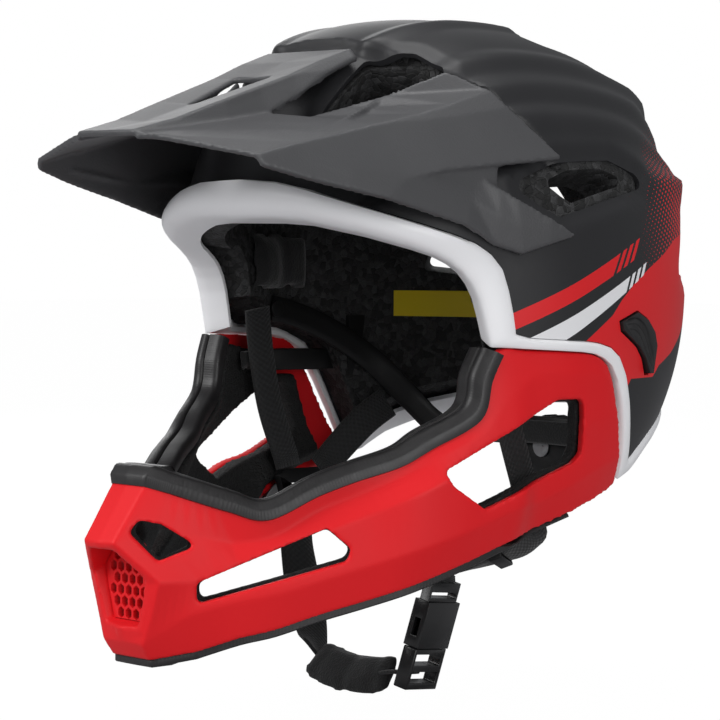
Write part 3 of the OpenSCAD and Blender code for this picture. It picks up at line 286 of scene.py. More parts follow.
in_field = add(ink, "Math", (around, FIELD_START + 0.5), operation="GREATER_THAN")
dots = joined("MULTIPLY", dot, below_edge, in_field, above_low)

# %% Put the print together
wide = add(ink, "TexNoise", {"Vector": place, "Scale": 26.0, "Detail": 2.0})
peel = add(ink, "TexNoise", {"Vector": place, "Scale": 900.0, "Detail": 2.0})
charcoal = add(ink, "Mix", {0: wide, 6: linear("#202022"), 7: linear("#262628")}, 2, data_type="RGBA")
red_ink = add(ink, "Mix", {0: wide, 6: linear("#d3191f"), 7: linear("#dc1c22")}, 2, data_type="RGBA")
is_red = joined("MAXIMUM", joined("MULTIPLY", below_top, above_low), red_band, dots)
two = add(ink, "Mix", {0: is_red, 6: charcoal, 7: red_ink}, 2, data_type="RGBA")
spread = add(ink, "MapRange", {"Value": wide, "To Min": 0.42, "To Max": 0.54})
coat(ink, film, white_band, two, linear("#e6e6e8"), peel, 0.15, 0.2,
     {"Roughness": spread, "IOR": 1.58, "Specular IOR Level": 0.3})
print("print nodes:", len(ink.nodes))

# %% [markdown]
# ## Foam
# The liner is expanded polystyrene, moulded from black and grey beads about 3 mm across, which
# press into flat-sided cells. A Voronoi pattern is just that shape, and a fine noise gives the
# speckle that the beads' skins have.

# %% Expanded polystyrene
def bead_foam(name, dark, light, bead):
    """Foam of moulded beads, bead millimetres across."""
    made, tree, shader = new_finish(name)
    place = add(tree, "TexCoord", out="Object")
    cells = add(tree, "TexVoronoi", {"Vector": place, "Scale": MM / bead}, "Color")
    walls = add(tree, "TexVoronoi", {"Vector": place, "Scale": MM / bead}, feature="DISTANCE_TO_EDGE")
    speck = add(tree, "TexNoise", {"Vector": place, "Scale": 750.0, "Detail": 4.0, "Roughness": 0.7})
    tone = add(tree, "Math", (add(tree, "SeparateColor", (cells,)), speck), operation="MULTIPLY")
    share = add(tree, "MapRange", {"Value": tone, "From Min": 0.1, "From Max": 0.6})
    joint = add(tree, "MapRange", {"Value": walls, "From Max": 0.12})
    high = add(tree, "Math", (speck, 0.5, joint), operation="MULTIPLY_ADD")
    coat(tree, shader, share, linear(dark), linear(light), high, 0.7, 0.5, {"Roughness": 0.72})
    return made


liner_foam = bead_foam("expanded polystyrene beads", "#0d0d0d", "#3a3a3b", 3.0)
guard_foam = bead_foam("expanded polypropylene foam", "#090909", "#171717", 2.0)

# %% [markdown]
# ## Cloth and webbing
# The pads are covered with brushed polyester, which scatters light at its edges. The straps are
# plain-woven nylon tape: threads 0.9 mm apart cross over and under, which the strap's own UV map
# carries along it in real millimetres.

# %% Pad cloth
THREAD = 0.9  # millimetres between threads, and between the knit's loops
pad_cloth, tree, nap = new_finish("brushed polyester knit")
place = add(tree, "TexCoord", out="Object")
loops = add(tree, "TexVoronoi", {"Vector": place, "Scale": MM / THREAD})
brush = add(tree, "TexNoise", {"Vector": place, "Scale": 160.0, "Detail": 5.0})
high = add(tree, "Math", (loops, 1.0, brush), operation="MULTIPLY_ADD")
coat(tree, nap, brush, linear("#080809"), linear("#121213"), high, 0.5, 0.4,
     {"Roughness": 0.9, "Sheen Weight": 0.25, "Sheen Roughness": 0.5})

# %% Webbing
webbing_weave, tree, yarn = new_finish("woven nylon webbing")
waves = []
for run in add(tree, "SeparateXYZ", (add(tree, "UVMap"),)).node.outputs[:2]:
    turns = add(tree, "Math", (run, math.pi / THREAD), operation="MULTIPLY")
    waves.append(add(tree, "Math", (turns,), operation="SINE"))
cross = add(tree, "Math", waves, operation="MULTIPLY")
# The weave's height also mixes the colour: its low points are painted darker, a painted shade in the hollows
# between the threads, and its raised threads lighter.
thread_height_and_shade = add(tree, "MapRange", {"Value": cross, "From Min": -1.0})
coat(tree, yarn, thread_height_and_shade, linear("#050506"), linear("#19191a"), thread_height_and_shade, 0.9, 0.3,
     {"Roughness": 0.68, "Sheen Weight": 0.15})

# %% Metal, and the blank label
steel, tree, metal = new_finish("zinc-plated steel")
place = add(tree, "TexCoord", out="Object")
drawn = add(tree, "TexNoise", {"Vector": place, "Scale": 400.0, "Detail": 2.0})
tone = add(tree, "Mix", {0: drawn, 6: linear("#a9abad"), 7: linear("#c4c6c8")}, 2, data_type="RGBA")
spread = add(tree, "MapRange", {"Value": drawn, "To Min": 0.22, "To Max": 0.42})
feed(tree, metal, {"Base Color": tone, "Roughness": spread, "Metallic": 1.0})
label_vinyl = moulded("yellow vinyl sticker", "#e6ca20", 0.38, 1.5, 0.1, 0.12, 1.5)

# %% [markdown]
# ## Making meshes from the helmet's own form
# The shell has no straight line in it, so it is made another way than by extruding: a grid is
# added, and each of its points is put where a formula says. The formula is the one that the solids
# came from, with many more points. Seams are merged, and modifiers give the wall and the soft edges.


# %% Helpers for shapes
def choose(piece):
    """Makes a piece the only selected one."""
    bpy.ops.object.select_all(action="DESELECT")
    bpy.context.view_layer.objects.active = piece
    piece.select_set(True)


OUTWARDS = (bpy.ops.mesh.normals_make_consistent, {"inside": False})


def edit(piece, *steps):
    """Runs edit-mode operators, each with its settings, on all of a piece."""
    choose(piece)
    bpy.ops.object.mode_set(mode="EDIT")
    for operator, settings in steps:
        bpy.ops.mesh.select_all(action="SELECT")
        operator(**settings)
    bpy.ops.object.mode_set(mode="OBJECT")


def close_up(piece, fill=True):
    """Merges doubles, closes holes and turns all faces outwards."""
    holes = [(bpy.ops.mesh.fill_holes, {"sides": 0})] if fill else []
    edit(piece, (bpy.ops.mesh.remove_doubles, {"threshold": 0.00002}),
         (bpy.ops.mesh.dissolve_degenerate, {"threshold": 0.000001}), *holes, OUTWARDS)


def linked(name, mesh):
    """A new piece for a mesh."""
    piece = bpy.data.objects.new(name, mesh)
    bpy.context.collection.objects.link(piece)
    return piece


# %% Grids and modifiers
def net(name, across, along, place, uv=(1, 1)):
    """A grid of points: point (i, j) is put at place(i, j), given in millimetres."""
    bpy.ops.mesh.primitive_grid_add(x_subdivisions=across, y_subdivisions=along, size=2)
    piece = bpy.context.object
    piece.name = name
    for v in piece.data.vertices:
        j, i = divmod(v.index, across + 1)
        v.co = Vector(place(i, j)) / MM
    for corner in piece.data.uv_layers.active.data:
        corner.uv = (corner.uv[0] * uv[0], corner.uv[1] * uv[1])
    return piece


def shape_with(piece, kind, **settings):
    """Adds a modifier, sets it and applies it."""
    choose(piece)
    made = piece.modifiers.new(kind.lower(), kind)
    for key, value in settings.items():
        setattr(made, key, value)
    bpy.ops.object.modifier_apply(modifier=made.name)


def soften(piece, radius, angle=28):
    """A rounded edge, radius millimetres, wherever faces meet at more than an angle."""
    shape_with(piece, "BEVEL", width=radius / MM, segments=2, limit_method="ANGLE",
               angle_limit=math.radians(angle))


def cut(piece, *tools, operation="DIFFERENCE"):
    """Cuts a piece with closed tools, and removes the tools."""
    for tool in tools:
        shape_with(piece, "BOOLEAN", operation=operation, object=tool, solver="MANIFOLD")
        bpy.data.objects.remove(tool)


# %% Finish a piece
def finish(piece, look, slot, body, *nodes, smooth=50):
    """Shading, material, body and the solids that the piece stands for."""
    choose(piece)
    bpy.ops.object.shade_smooth_by_angle(angle=math.radians(smooth))
    piece.data.materials.clear()
    piece.data.materials.append(look)
    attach(piece, body)
    if nodes:
        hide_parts(*nodes)
    print(piece.name, len(piece.data.polygons), "faces")


# %% Small sums
def ease(t):
    """A smooth step from 0 to 1."""
    u = max(0.0, min(1.0, t))
    return u * u * (3 - 2 * u)


def lerp(a, b, t):
    """The value at a share t of the way from a to b."""
    return a + (b - a) * t


def look_up(rows, key):
    """The value at key in rows of (key, value)."""
    for (k0, v0), (k1, v1) in zip(rows, rows[1:]):
        if key <= k1:
            return lerp(v0, v1, max(0.0, key - k0) / (k1 - k0))
    return rows[-1][1]


# %% The shell's form: a rounded plan, scaled level by level
HALF_W, FRONT, REAR, CROWN, MID = 105, 106, 142, 114, Vector((0, -11, 25))
ROUND, DOME = 2.12, 2.4  # the powers of the plan's and the dome's curves, where 2 is an ellipse


def plan_radius(a):
    """The plan's reach at angle a, counted from the front in degrees."""
    s, c = abs(math.sin(math.radians(a))), math.cos(math.radians(a))
    return ((s / HALF_W) ** ROUND + (abs(c) / (FRONT if c > 0 else REAR)) ** ROUND) ** (-1 / ROUND)


def fall(a, h):
    """How far the form would reach up or, shorter at the nape, down."""
    return CROWN if h > 0 else 168 - 55 * ease((abs(a) - 100) / 60)


def skin(a, z, off=0.0):
    """A point of the shell at plan angle a and level z, off millimetres under its surface."""
    h = z - MID.z
    k = max(0.0, 1 - (abs(h) / fall(a, h)) ** DOME) ** (1 / DOME)
    pinch = 0.04 * ease((56 - z) / 26) * ease(1 - abs(abs(a) - 66) / 26)
    r = plan_radius(a) * k * (1 - pinch)
    p = Vector((r * math.sin(math.radians(a)), MID.y - r * math.cos(math.radians(a)), z))
    return inward(p, off)


def inward(p, off):
    """A point moved towards the form's middle."""
    v = p - MID
    return MID + v * ((v.length - off) / v.length)


def climb(a, edge, share):
    """The level at a share of the way from the edge to the crown, by equal steps of slope."""
    h = edge - MID.z
    start = math.copysign(math.asin(min(1, (abs(h) / fall(a, h)) ** (DOME / 2))), h)
    t = lerp(start, math.pi / 2, share)
    return MID.z + math.copysign(fall(a, t) * abs(math.sin(t)) ** (2 / DOME), t)


# %% The shell's edges and ridges
SEAM = [(0, -71), (16, -71), (38, -58), (46, -46), (52, -41), (64, -21), (70, -45)]
REAR_ROWS = [(35, 0), (50, 0.5), (56, 1), (62, 2.8), (67, 4.2), (73, -1), (79, -3.4), (85, -3.6), (91, -2.8),
             (97, -1), (102, 1.6), (108, 2), (114, 0)]
SHELL_EDGE = [(0, 66), (12, 65), (22, 61.5), (39, 52.5), (50, 46.5), (56, 43), (61, 39.5), (65, 35), (68, 29),
              (69.7, 20), (71, 10), (71.8, 1.6), (76, -0.4), (84, -1.2), (92, -2), (97, -3), (101.5, -5),
              (105, -9), (108.4, -17), (111.4, -28), (114.6, -42), (118.5, -56), (122.5, -51.5), (129, -45),
              (137, -39.5), (148, -35), (160, -31.5), (170, -30.4), (180, -30)]
FRAME_EDGE = [(0, 50), (11, 50), (20, 49), (34, 44), (45, 38.5), (51, 35), (55, 31.5), (58, 27.5),
              (60.5, 22), (62.5, 15), (64, 6), (65.5, -4.2), (76, -5), (84, -5.8), (91, -6.6), (95.5, -7.6),
              (99.2, -9.8), (102.2, -13), (105.2, -19.5), (108, -29), (111.2, -42), (116, -64.5),
              (121.5, -62), (128.5, -54), (137, -48), (148, -43), (160, -40), (170, -38.9), (180, -38.5)]


# %% Ribs, ridges and the visor's seat
def lateral(p):
    """How far a point leans to the side of the crown, in degrees."""
    return math.degrees(math.atan2(abs(p.x), p.z - MID.z))


def rib(lat, y):
    """The four long ribs on each side, which fade in behind the visor's seat."""
    lines = max(ease(1 - abs(lat - l) / 4.5) for l in (17, 36, 45, 53))
    return 1.8 * ease((y - look_up(SEAM, lat) + 30) / 40) * ease((110 - y) / 30) * lines


def seat(p, soft=4.0):
    """The step down under the visor, soft millimetres long."""
    lat = lateral(p)
    return -5 * ease((look_up(SEAM, lat) - p.y + 5) / soft) * ease((66 - lat) / 6)


def shell_point(p, off):
    """A shell point with its ribs, its rear ridges and the visor's seat."""
    rise = seat(p)
    if p.z > MID.z:
        rise += rib(lateral(p), p.y) + ease((p.y - 20) / 60) * look_up(REAR_ROWS, p.z)
    return inward(p, off - rise)


# %% [markdown]
# ### Vents
# Each vent is cut by a prism with rounded corners, along the direction in which the mould opens.
# Its points are a ring of points round each corner, joined by a convex hull.

# %% Vents
VENTS = [
    ([(34, -92, 100), (36, -72, 120), (50, -60, 119), (61, -57, 112), (50, -82, 101)], (0.42, -0.5, 0.75)),
    ([(99, -36, 65), (99, -19, 71), (97, 17, 73), (95, 35, 68), (102, -20, 56), (101, -28, 60)],
     (0.92, 0.05, 0.38)),
    ([(78, 84, 30), (70, 92, 62), (52, 106, 62), (56, 110, 26)], (0.6, 0.78, 0.1)),
    ([(26, 28, 134), (30, 66, 122), (44, 58, 118), (42, 24, 128)], (0.25, 0.25, 0.93)),
    ([(14, 124, 66), (22, 116, 84), (36, 112, 78), (34, 118, 60)], (0.2, 0.88, 0.42))]


def hull_of(name, points):
    """A closed convex piece round some points, in millimetres."""
    mesh = bpy.data.meshes.new(name)
    mesh.from_pydata([Vector(p) / MM for p in points], [], [])
    piece = linked(name, mesh)
    edit(piece, (bpy.ops.mesh.convex_hull, {}), OUTWARDS)
    return piece


# %% Cutters for the vents
def prism(corners, way, r, depth, mirror=1, n=20):
    """A prism through its corners along a direction, rounded by r with n points round each corner."""
    way = Vector((way[0] * mirror, way[1], way[2])).normalized()
    one = way.orthogonal().normalized()
    two = way.cross(one)
    points = []
    for c in corners:
        c = Vector((c[0] * mirror, c[1], c[2]))
        for k in range(n):
            turned = one * (r * math.cos(2 * math.pi * k / n)) + two * (r * math.sin(2 * math.pi * k / n))
            points += [c + turned + way * depth / 2, c + turned - way * depth / 2]
    return hull_of("cutter", points)


# %% The vents' soft lips
def outline_gap(p, corners, way, r):
    """How far a point lies outside a vent's outline, seen along the vent's direction."""
    way = Vector(way).normalized()
    flat = [Vector(c) - way * Vector(c).dot(way) for c in corners]
    q = Vector((abs(p.x), p.y, p.z))
    q -= way * q.dot(way)
    inside, best = True, 1e9
    middle = sum(flat, Vector()) / len(flat)
    for a, b in zip(flat, flat[1:] + flat[:1]):
        along = b - a
        t = max(0, min(1, (q - a).dot(along) / along.length_squared))
        best = min(best, (q - a - along * t).length)
        out = along.cross(way)
        if out.dot(middle - a) > 0:
            out = -out
        inside = inside and out.dot(q - a) < 0
    return (-best if inside else best) - r


def lip(p):
    """How far the shell dips towards the edge of the nearest vent."""
    dip = 0.0
    for k, (corners, way) in enumerate(VENTS):
        if Vector(way).dot(Vector((abs(p.x), p.y, p.z)) - MID) < 60:
            continue
        dip = max(dip, (3.0 if k == 1 else 2.0) * ease(1 - outline_gap(p, corners, way, 4) / 8))
    return dip


# %% [markdown]
# ## Upper shell
# A thin polycarbonate dome. Its columns stand about 2 mm apart, so that the long ribs and the vents'
# soft lips have enough points. Solidify gives the 2.2 mm wall, and the vents are cut through it.

# %% Upper shell
def round_columns(count, edges):
    """Plan angles all round: even steps, and the edge's own angles."""
    own = [a for a, z in edges]
    own += [-a for a in own if 0 < a < 180]
    even = [-180 + 360 * k / count for k in range(count)]
    kept = [a for a in even if min(abs(a - b) for b in own) > 0.35]
    return sorted(set(kept + [a if a < 180 else -180 for a in own]))


# %% Make the shell and cut its vents
cols = round_columns(330, SHELL_EDGE)
SHELL_ROWS, SHELL_WALL = 104, 2.2  # rows from the edge to the crown, and millimetres


def shell_at(i, j):
    """Point j of column i, from the edge to the crown."""
    a = cols[i % len(cols)]
    p = skin(a, climb(a, look_up(SHELL_EDGE, abs(a)) + 0.4, j / SHELL_ROWS))
    return shell_point(p, lip(p))


shell = net("upper_shell_moulded", len(cols), SHELL_ROWS, shell_at)
close_up(shell, fill=False)
shape_with(shell, "SOLIDIFY", thickness=SHELL_WALL / MM, offset=-1)
for way in (1, -1):
    cut(shell, *[prism(corners, line, 4, 70, mirror=way) for corners, line in VENTS])
print("shell", len(shell.data.polygons))

# %% [markdown]
# The release buttons lie in pockets in the shell. The pocket is the tab's outline, a little larger.

# %% Button pockets
TAB = [(-14, 8), (-1, 12), (8, 8.5), (14, 3), (16, -3), (13, -15), (10, -15), (6, -8), (0, -2.5), (-13, 4.5)]
TAB_MID, TAB_TURN = Vector((100.4, 30, -2)), math.radians(11)


def on_tab(u, v, out, mirror=1):
    """A point of the button's tab: u back, v up, out from the shell."""
    x = out * math.cos(TAB_TURN) - u * math.sin(TAB_TURN)
    y = out * math.sin(TAB_TURN) + u * math.cos(TAB_TURN)
    return Vector(((TAB_MID.x + x) * mirror, TAB_MID.y + y, TAB_MID.z + v))


# %% Cut the pockets
def grown(outline, d):
    """An outline moved outwards by d, corner by corner."""
    made = []
    turning = sum(a[0] * b[1] - b[0] * a[1] for a, b in zip(outline, outline[1:] + outline[:1]))
    d = d if turning > 0 else -d
    for k, p in enumerate(outline):
        before, after = Vector(outline[k - 1]), Vector(outline[(k + 1) % len(outline)])
        p = Vector(p)
        one, two = (p - before).normalized(), (after - p).normalized()
        n1, n2 = Vector((one.y, -one.x)), Vector((two.y, -two.x))
        both = (n1 + n2).normalized()
        made.append(tuple(p + both * (d / max(0.4, both.dot(n1)))))
    return made


def slab(name, outline, low, high, mirror=1):
    """A closed slab with the tab's outline."""
    n = len(outline)
    mesh = bpy.data.meshes.new(name)
    points = [on_tab(u, v, h, mirror) / MM for h in (low, high) for u, v in outline]
    sides = [(k, (k + 1) % n, n + (k + 1) % n, n + k) for k in range(n)]
    mesh.from_pydata(points, [], [tuple(range(n))[::-1], tuple(range(n, 2 * n)), *sides])
    piece = linked(name, mesh)
    close_up(piece)
    return piece


for way in (1, -1):
    cut(shell, slab("pocket", grown(TAB, 0.9), -8, 8, way))
finish(shell, shell_paint, "shell_black", "root", "upper_shell", smooth=40)

# %% [markdown]
# ## Foam liner
# The same form again, thicker: an outer and an inner dome joined at their edges.

# %% Foam liner
def foam_edge(a):
    """The level of the foam's edge, which stands higher behind the cheeks and the latches."""
    a = abs(a)
    stand = 11 * ease((a - 51) / 9) * ease((79 - a) / 6) + 5.5 * ease((a - 101) / 6) * ease((125 - a) / 8)
    return look_up(FRAME_EDGE, a) + 4.4 + stand


def foam_out(p):
    """The foam's outer face, under the shell and hollow behind its rear ridges."""
    hollow = 3.6 * ease((p.y - 20) / 60) * ease((p.z - 50) / 20) * ease((125 - p.z) / 15)
    return inward(p, 3.6 - 1.15 * seat(p - Vector((0, 7, 0))) + hollow)


# %% Make the liner
cols = round_columns(180, FRAME_EDGE)
n, rows = len(cols), 56
FOAM_DEEP = 24.0  # millimetres from the shell's surface to the foam's inner face


def foam_at(i, j):
    """The outer dome from the crown down, then the inner one back up."""
    a = cols[i % n]
    if j <= rows:
        return foam_out(skin(a, climb(a, foam_edge(a), 1 - j / rows)))
    return skin(a, climb(a, foam_edge(a), (j - rows - 1) / rows), FOAM_DEEP)


liner = net("foam_liner_moulded", n, 2 * rows + 1, foam_at)
close_up(liner, fill=False)
for way in (1, -1):
    smaller = []
    for k, (corners, line) in enumerate(VENTS):
        mid = (Vector(corners[0]) + Vector(corners[3])) / 2
        smaller.append(([mid.lerp(Vector(c), 0.6 if k == 1 else 1.0) for c in corners], line))
    cut(liner, *[prism(corners, line, 2.5, 90, mirror=way) for corners, line in smaller])
soften(liner, 1.2, 50)
finish(liner, liner_foam, "liner_foam", "root", "eps_liner", smooth=40)

# %% [markdown]
# ## Pieces that keep their solid's shape
# A small hard piece has its true shape in the CAD solid already, but with knife-sharp edges. No
# moulding has those: a copy of the solid is merged, its flat faces are joined, and a fine bevel
# gives each edge the small radius that catches the light.

# %% Copies of solids
def copy_of(node, name):
    """A merged copy of a solid, as a new piece."""
    piece = linked(name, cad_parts[node].data.copy())
    close_up(piece, fill=False)
    edit(piece, (bpy.ops.mesh.dissolve_limited, {"angle_limit": math.radians(0.6)}))
    return piece


def edged(node, name, radius, look, slot, body):
    """A copy of a solid with soft edges, radius in millimetres."""
    piece = copy_of(node, name)
    soften(piece, radius)
    finish(piece, look, slot, body, node, smooth=35)


def remoulded(piece, voxel, passes):
    """Melts a piece's edges: an even fine mesh, then smoothed, voxel in millimetres."""
    shape_with(piece, "REMESH", mode="VOXEL", voxel_size=voxel / MM, adaptivity=0)
    shape_with(piece, "SMOOTH", factor=0.5, iterations=passes)


# %% [markdown]
# ## Visor
# The visor is one nylon moulding of flat facets that meet in soft creases, with a ridge under it.
# The facets come from the solid; the creases are softened by remeshing it finely and smoothing it.
# The groove over each ear has a floor, a thin web that lies deeper than its two edges.

# %% Visor
visor = copy_of("visor", "visor_moulded")
groove_edges = [Vector((89.6, -100.2, 66)), Vector((93, -80, 70)), Vector((97.6, -54, 72.8)),
                skin(61, 66, -4), skin(66, 62, -3.6)]
for way in (1, -1):
    points = [inward(p, deep) for p in groove_edges for deep in (2.4, 4)]
    web = hull_of("groove_floor", [(p.x * way, p.y, p.z) for p in points])
    choose(visor)
    web.select_set(True)
    bpy.ops.object.join()
remoulded(visor, 0.92, 4)
finish(visor, visor_nylon, "visor_black", "visor", "visor")

# %% [markdown]
# ## White edge frame
# The lower shell is a white moulding that runs round the face opening, along the chin guard's seat
# and round the nape. Its section changes along its run, so each ring of points is worked out from
# the two edges' tables, and the rings are joined by a grid that closes on itself both ways.

# %% White edge frame
LAST = len(SHELL_EDGE) - 1
STEPS = 5  # rings for each row of the tables


def along_edge(k):
    """The frame's outer and inner edge at a place k along the tables, mirrored past the nape."""
    side = 1 if k <= LAST else -1
    k = k if k <= LAST else 2 * LAST - k
    i = min(int(k), LAST - 1)
    t = k - i
    o = Vector(SHELL_EDGE[i]).lerp(Vector(SHELL_EDGE[i + 1]), t)
    f = Vector(FRAME_EDGE[i]).lerp(Vector(FRAME_EDGE[i + 1]), t)
    return o, f, k, side


def frame_ring(k):
    """A ring round the frame's section, whose depth and bulge change along the run."""
    o, f, k, side = along_edge(k)
    front = ease(12 - k)
    nape = ease(k - 21)
    deep = 13 * front + 5 * (1 - front) * (1 - nape) + 14 * nape
    brow = lerp(5.5, 1.6, ease((o.x - 40) / 25))
    proud = brow * front + (0.96 * (1 - nape) + 1.6 * nape) * (1 - front)
    wide = (skin(*o) - skin(*f)).length
    s = 3 / wide
    row = [skin(*o, 2.2), skin(*o, -0.2)]
    for t in (0.12, 0.25, 0.4, 0.55, 0.7, 0.82):
        p = o.lerp(f, t)
        row.append(skin(*p, -proud * math.sin(math.pi * min(1, 0.12 + t * 0.95)) ** 0.5))
    row += [skin(*o.lerp(f, 0.94), -0.1 * proud), skin(*f, 1.6), skin(*f, deep * 0.4), skin(*f, deep * 0.8),
            skin(*f.lerp(o, s * 0.1), deep), skin(*f.lerp(o, s * 0.9), deep), skin(*f.lerp(o, s), deep * 0.8),
            skin(*f.lerp(o, s), deep * 0.4), skin(*f.lerp(o, s), 2.2)]
    return [Vector((p.x * side, p.y, p.z)) for p in row]


# %% Make the frame
rings = [frame_ring(k / STEPS) for k in range(2 * LAST * STEPS)]
ring = len(rings[0])
edge_frame = net("white_edge_frame", ring, len(rings), lambda i, j: rings[j % len(rings)][i % ring])
close_up(edge_frame, fill=False)
soften(edge_frame, 0.6, 50)
shape_with(edge_frame, "SMOOTH", factor=0.35, iterations=2)
finish(edge_frame, white_abs, "frame_white", "root", "lower_shell", smooth=60)

# %% [markdown]
# ## Chin guard
# The guard is the helmet's most sculpted moulding: flat facets at the nose, then long soft bands
# between creases that run back to the ears. Each station across it has five points. Between the
# stations the lines are carried by a smooth curve, except at the nose, where they stay straight.

# %% Stations of the guard
GUARD = [
    [(0, -173, -60), (0, -189.3, -84.2), (0, -183.3, -103), (0, -175.8, -126.5), (0, -171.6, -133.5)],
    [(10.7, -172, -60.2), (9.6, -188.8, -84.2), (22.8, -174.8, -100.2), (12.9, -175.7, -126.5),
     (11.8, -171.2, -133.5)],
    [(17, -165, -62.8), (18.5, -173, -78), (30, -160, -100), (27, -163, -114), (25, -156.5, -130)],
    [(34, -148, -70), (37, -148, -84.5), (40, -146.1, -95), (40.5, -146.6, -108), (38, -144, -124)],
    [(45.5, -136, -73.5), (48.5, -135.6, -82), (50.8, -133.4, -89), (50.8, -134, -105),
     (47.5, -132.5, -120.5)],
    [(56.2, -118.3, -64), (59, -118.2, -71), (61.6, -117.7, -80), (61.6, -118.8, -99.5),
     (58, -117.5, -114.5)],
    [(65.2, -105.3, -58), (69, -104.6, -64.5), (72.3, -102.4, -72.5), (72, -104, -94), (68, -103, -109.5)],
    [(75.2, -89.3, -52), (80.7, -87.8, -56.2), (85.5, -87, -64), (85, -86.5, -87.5), (79, -86.5, -103.5)],
    [(81.5, -78, -45), (88, -74.6, -48.2), (92, -72, -57), (92, -70.5, -82), (85, -69.5, -97.5)],
    [(91.2, -59.5, -33.3), (93.8, -58, -39.2), (96, -56.5, -52), (95, -56.5, -77), (88.5, -55.5, -92.5)],
    [(92.7, -54.7, -17.4), (96.3, -50.4, -30.2), (98.5, -47.8, -48), (97, -46.5, -73.5), (90, -45.5, -89)],
    [(94.3, -49.6, -5.2), (98.2, -42.8, -22.2), (100.3, -40, -44), (98.3, -37.5, -71), (91, -35.5, -86)]]
# The band under the second line stands out, because that line lies deeper (millimetres)
for i, depth in ((2, 1.2), (3, 3.2), (4, 3.6), (5, 3.6), (6, 3.2), (7, 2.4), (8, 1.2)):
    (x, y), (u, v) = GUARD[i - 1][3][:2], GUARD[i + 1][3][:2]
    way = Vector((v - y, x - u)).normalized()
    px, py, pz = GUARD[i][1]
    GUARD[i][1] = (px - abs(way.x) * depth, py + abs(way.y) * depth, pz)
seat_z = {a: look_up(FRAME_EDGE, a) - 0.5 for a in (75.5, 87, 96, 100.6)}
GUARD_REAR = [
    [(75.5, seat_z[75.5] - 0.6, 0.6), (78, -16, -0.8), (80, -41, -2.6), (81.5, -67.5, -4), (83, -82, -1.5)],
    [(87, seat_z[87] - 0.4, 0.4), (88, -15, -0.8), (91, -38, -1.8), (93, -61.5, -2.6), (96, -76, -1)],
    [(96, seat_z[96], 0.4), (96.5, -15.5, -0.8), (99, -36, -1.2), (102, -56.5, -1.8), (105, -71.5, -0.6)],
    [(100.6, seat_z[100.6] - 0.4, 0.4), (101, -18.5, -0.8), (104, -35, -1), (108, -54.5, -1.2),
     (112, -68.5, 0)],
    [(102.8, -17, 0.4), (104.8, -25, -0.2), (108, -37, -0.6), (112, -52.5, -0.8), (115, -65.8, 0)]]
FRONT_N = len(GUARD)
GUARD_N = FRONT_N + len(GUARD_REAR)


# %% Rings across the guard
def front_out(i):
    """The outward direction in plan at a station."""
    if i < 2:
        return Vector((0, -1, 0))
    a, b = Vector(GUARD[max(i - 1, 0)][3]), Vector(GUARD[min(i + 1, FRONT_N - 1)][3])
    return Vector((-(a.y - b.y), a.x - b.x, 0)).normalized()


def guard_point(i, j, off, rise):
    """Line j at station i, off millimetres inside the guard's face."""
    if i < FRONT_N:
        return Vector(GUARD[i][j]) - front_out(i) * off + Vector((0, 0, rise))
    a, z, d = GUARD_REAR[i - FRONT_N][j]
    return skin(a, z + rise, d + off)


def station(i, off, thick, cut_top=0.0, cut_low=0.0):
    """A closed ring at a station: down the outer face and up the inner one."""
    rise = (-cut_top, -cut_top * 0.3, 0, 0, cut_low)
    return [guard_point(i, j, off, rise[j]) for j in range(5)] + \
        [guard_point(i, j, off + thick, rise[j]) for j in (4, 3, 2, 1, 0)]


# %% Smooth lines between the stations
def between(a, b, c, d, t):
    """A point on the smooth curve from b to c."""
    return 0.5 * ((2 * b) + (c - a) * t + (2 * a - 5 * b + 4 * c - d) * t * t
                  + (3 * b - a - 3 * c + d) * t ** 3)


def refine(stations, steps, straight_to=0):
    """More stations on smooth curves; those before straight_to are joined by straight lines."""
    made = []
    n = len(stations)
    for i in range(n - 1):
        for s in range(steps):
            t = s / steps
            if i < straight_to:
                made.append([p.lerp(q, t) for p, q in zip(stations[i], stations[i + 1])])
            else:
                before = stations[i - 1] if i > straight_to else stations[i]
                after = stations[min(i + 2, n - 1)]
                made.append([between(*four, t) for four in zip(before, stations[i], stations[i + 1], after)])
    return made + [stations[-1]]


def both_sides(stations):
    """Stations from the middle to one end, mirrored to the other."""
    return [[Vector((-p.x, p.y, p.z)) for p in row] for row in stations[:0:-1]] + stations


def loft(name, stations, uv=(1, 1)):
    """A closed bar through rings of points."""
    k = len(stations[0])
    piece = net(name, k, len(stations) - 1, lambda i, j: stations[j][i % k], uv)
    close_up(piece)
    return piece


# %% Windows in the guard
WINDOWS = [
    ([(13, -177, -77), (18, -171, -78.5), (25.5, -162.6, -85.4), (18, -171, -89.5), (12, -179, -79.8)],
     (0.72, -0.69, 0), 0.7, 60),
    ([(30.5, -159, -102), (52, -136, -89), (64, -120, -80.5), (68.5, -113, -87.5), (68, -114, -90.5),
      (30.5, -159, -107)], (0.74, -0.67, 0), 0.7, 60),
    ([(88, -72, -56.5), (104, -21, -29), (105, -10, -29), (104, -8, -48.5), (103, -11, -51.5), (91, -56, -69),
      (88, -70, -59.5)], (0.95, -0.31, 0.05), 1.0, 50)]


def window_tools(r):
    """The windows' cutters on both sides."""
    return [prism(c, way, r * k, depth, mirror=m) for c, way, k, depth in WINDOWS for m in (1, -1)]


# %% The nose's opening
NOSE = [(-7, 17.2), (7, 17.2), (18.8, 1.6), (11.8, -18.2), (-11.8, -18.2), (-18.8, 1.6)]
GRILLE = [(-9, 16), (9, 16), (15.6, 7), (9.6, -14.6), (-9.6, -14.6), (-15.6, 7)]


def on_nose(u, v, out):
    """A point of the nose's leaning opening."""
    t = math.radians(90 + 17.7)
    y = -183.2 + v * math.cos(t) - out * math.sin(t)
    return Vector((u, y, -103 + v * math.sin(t) + out * math.cos(t)))


def on_grille(u, v, out):
    """A point of the upright grille."""
    return Vector((u, -171 - out, -103 + v))


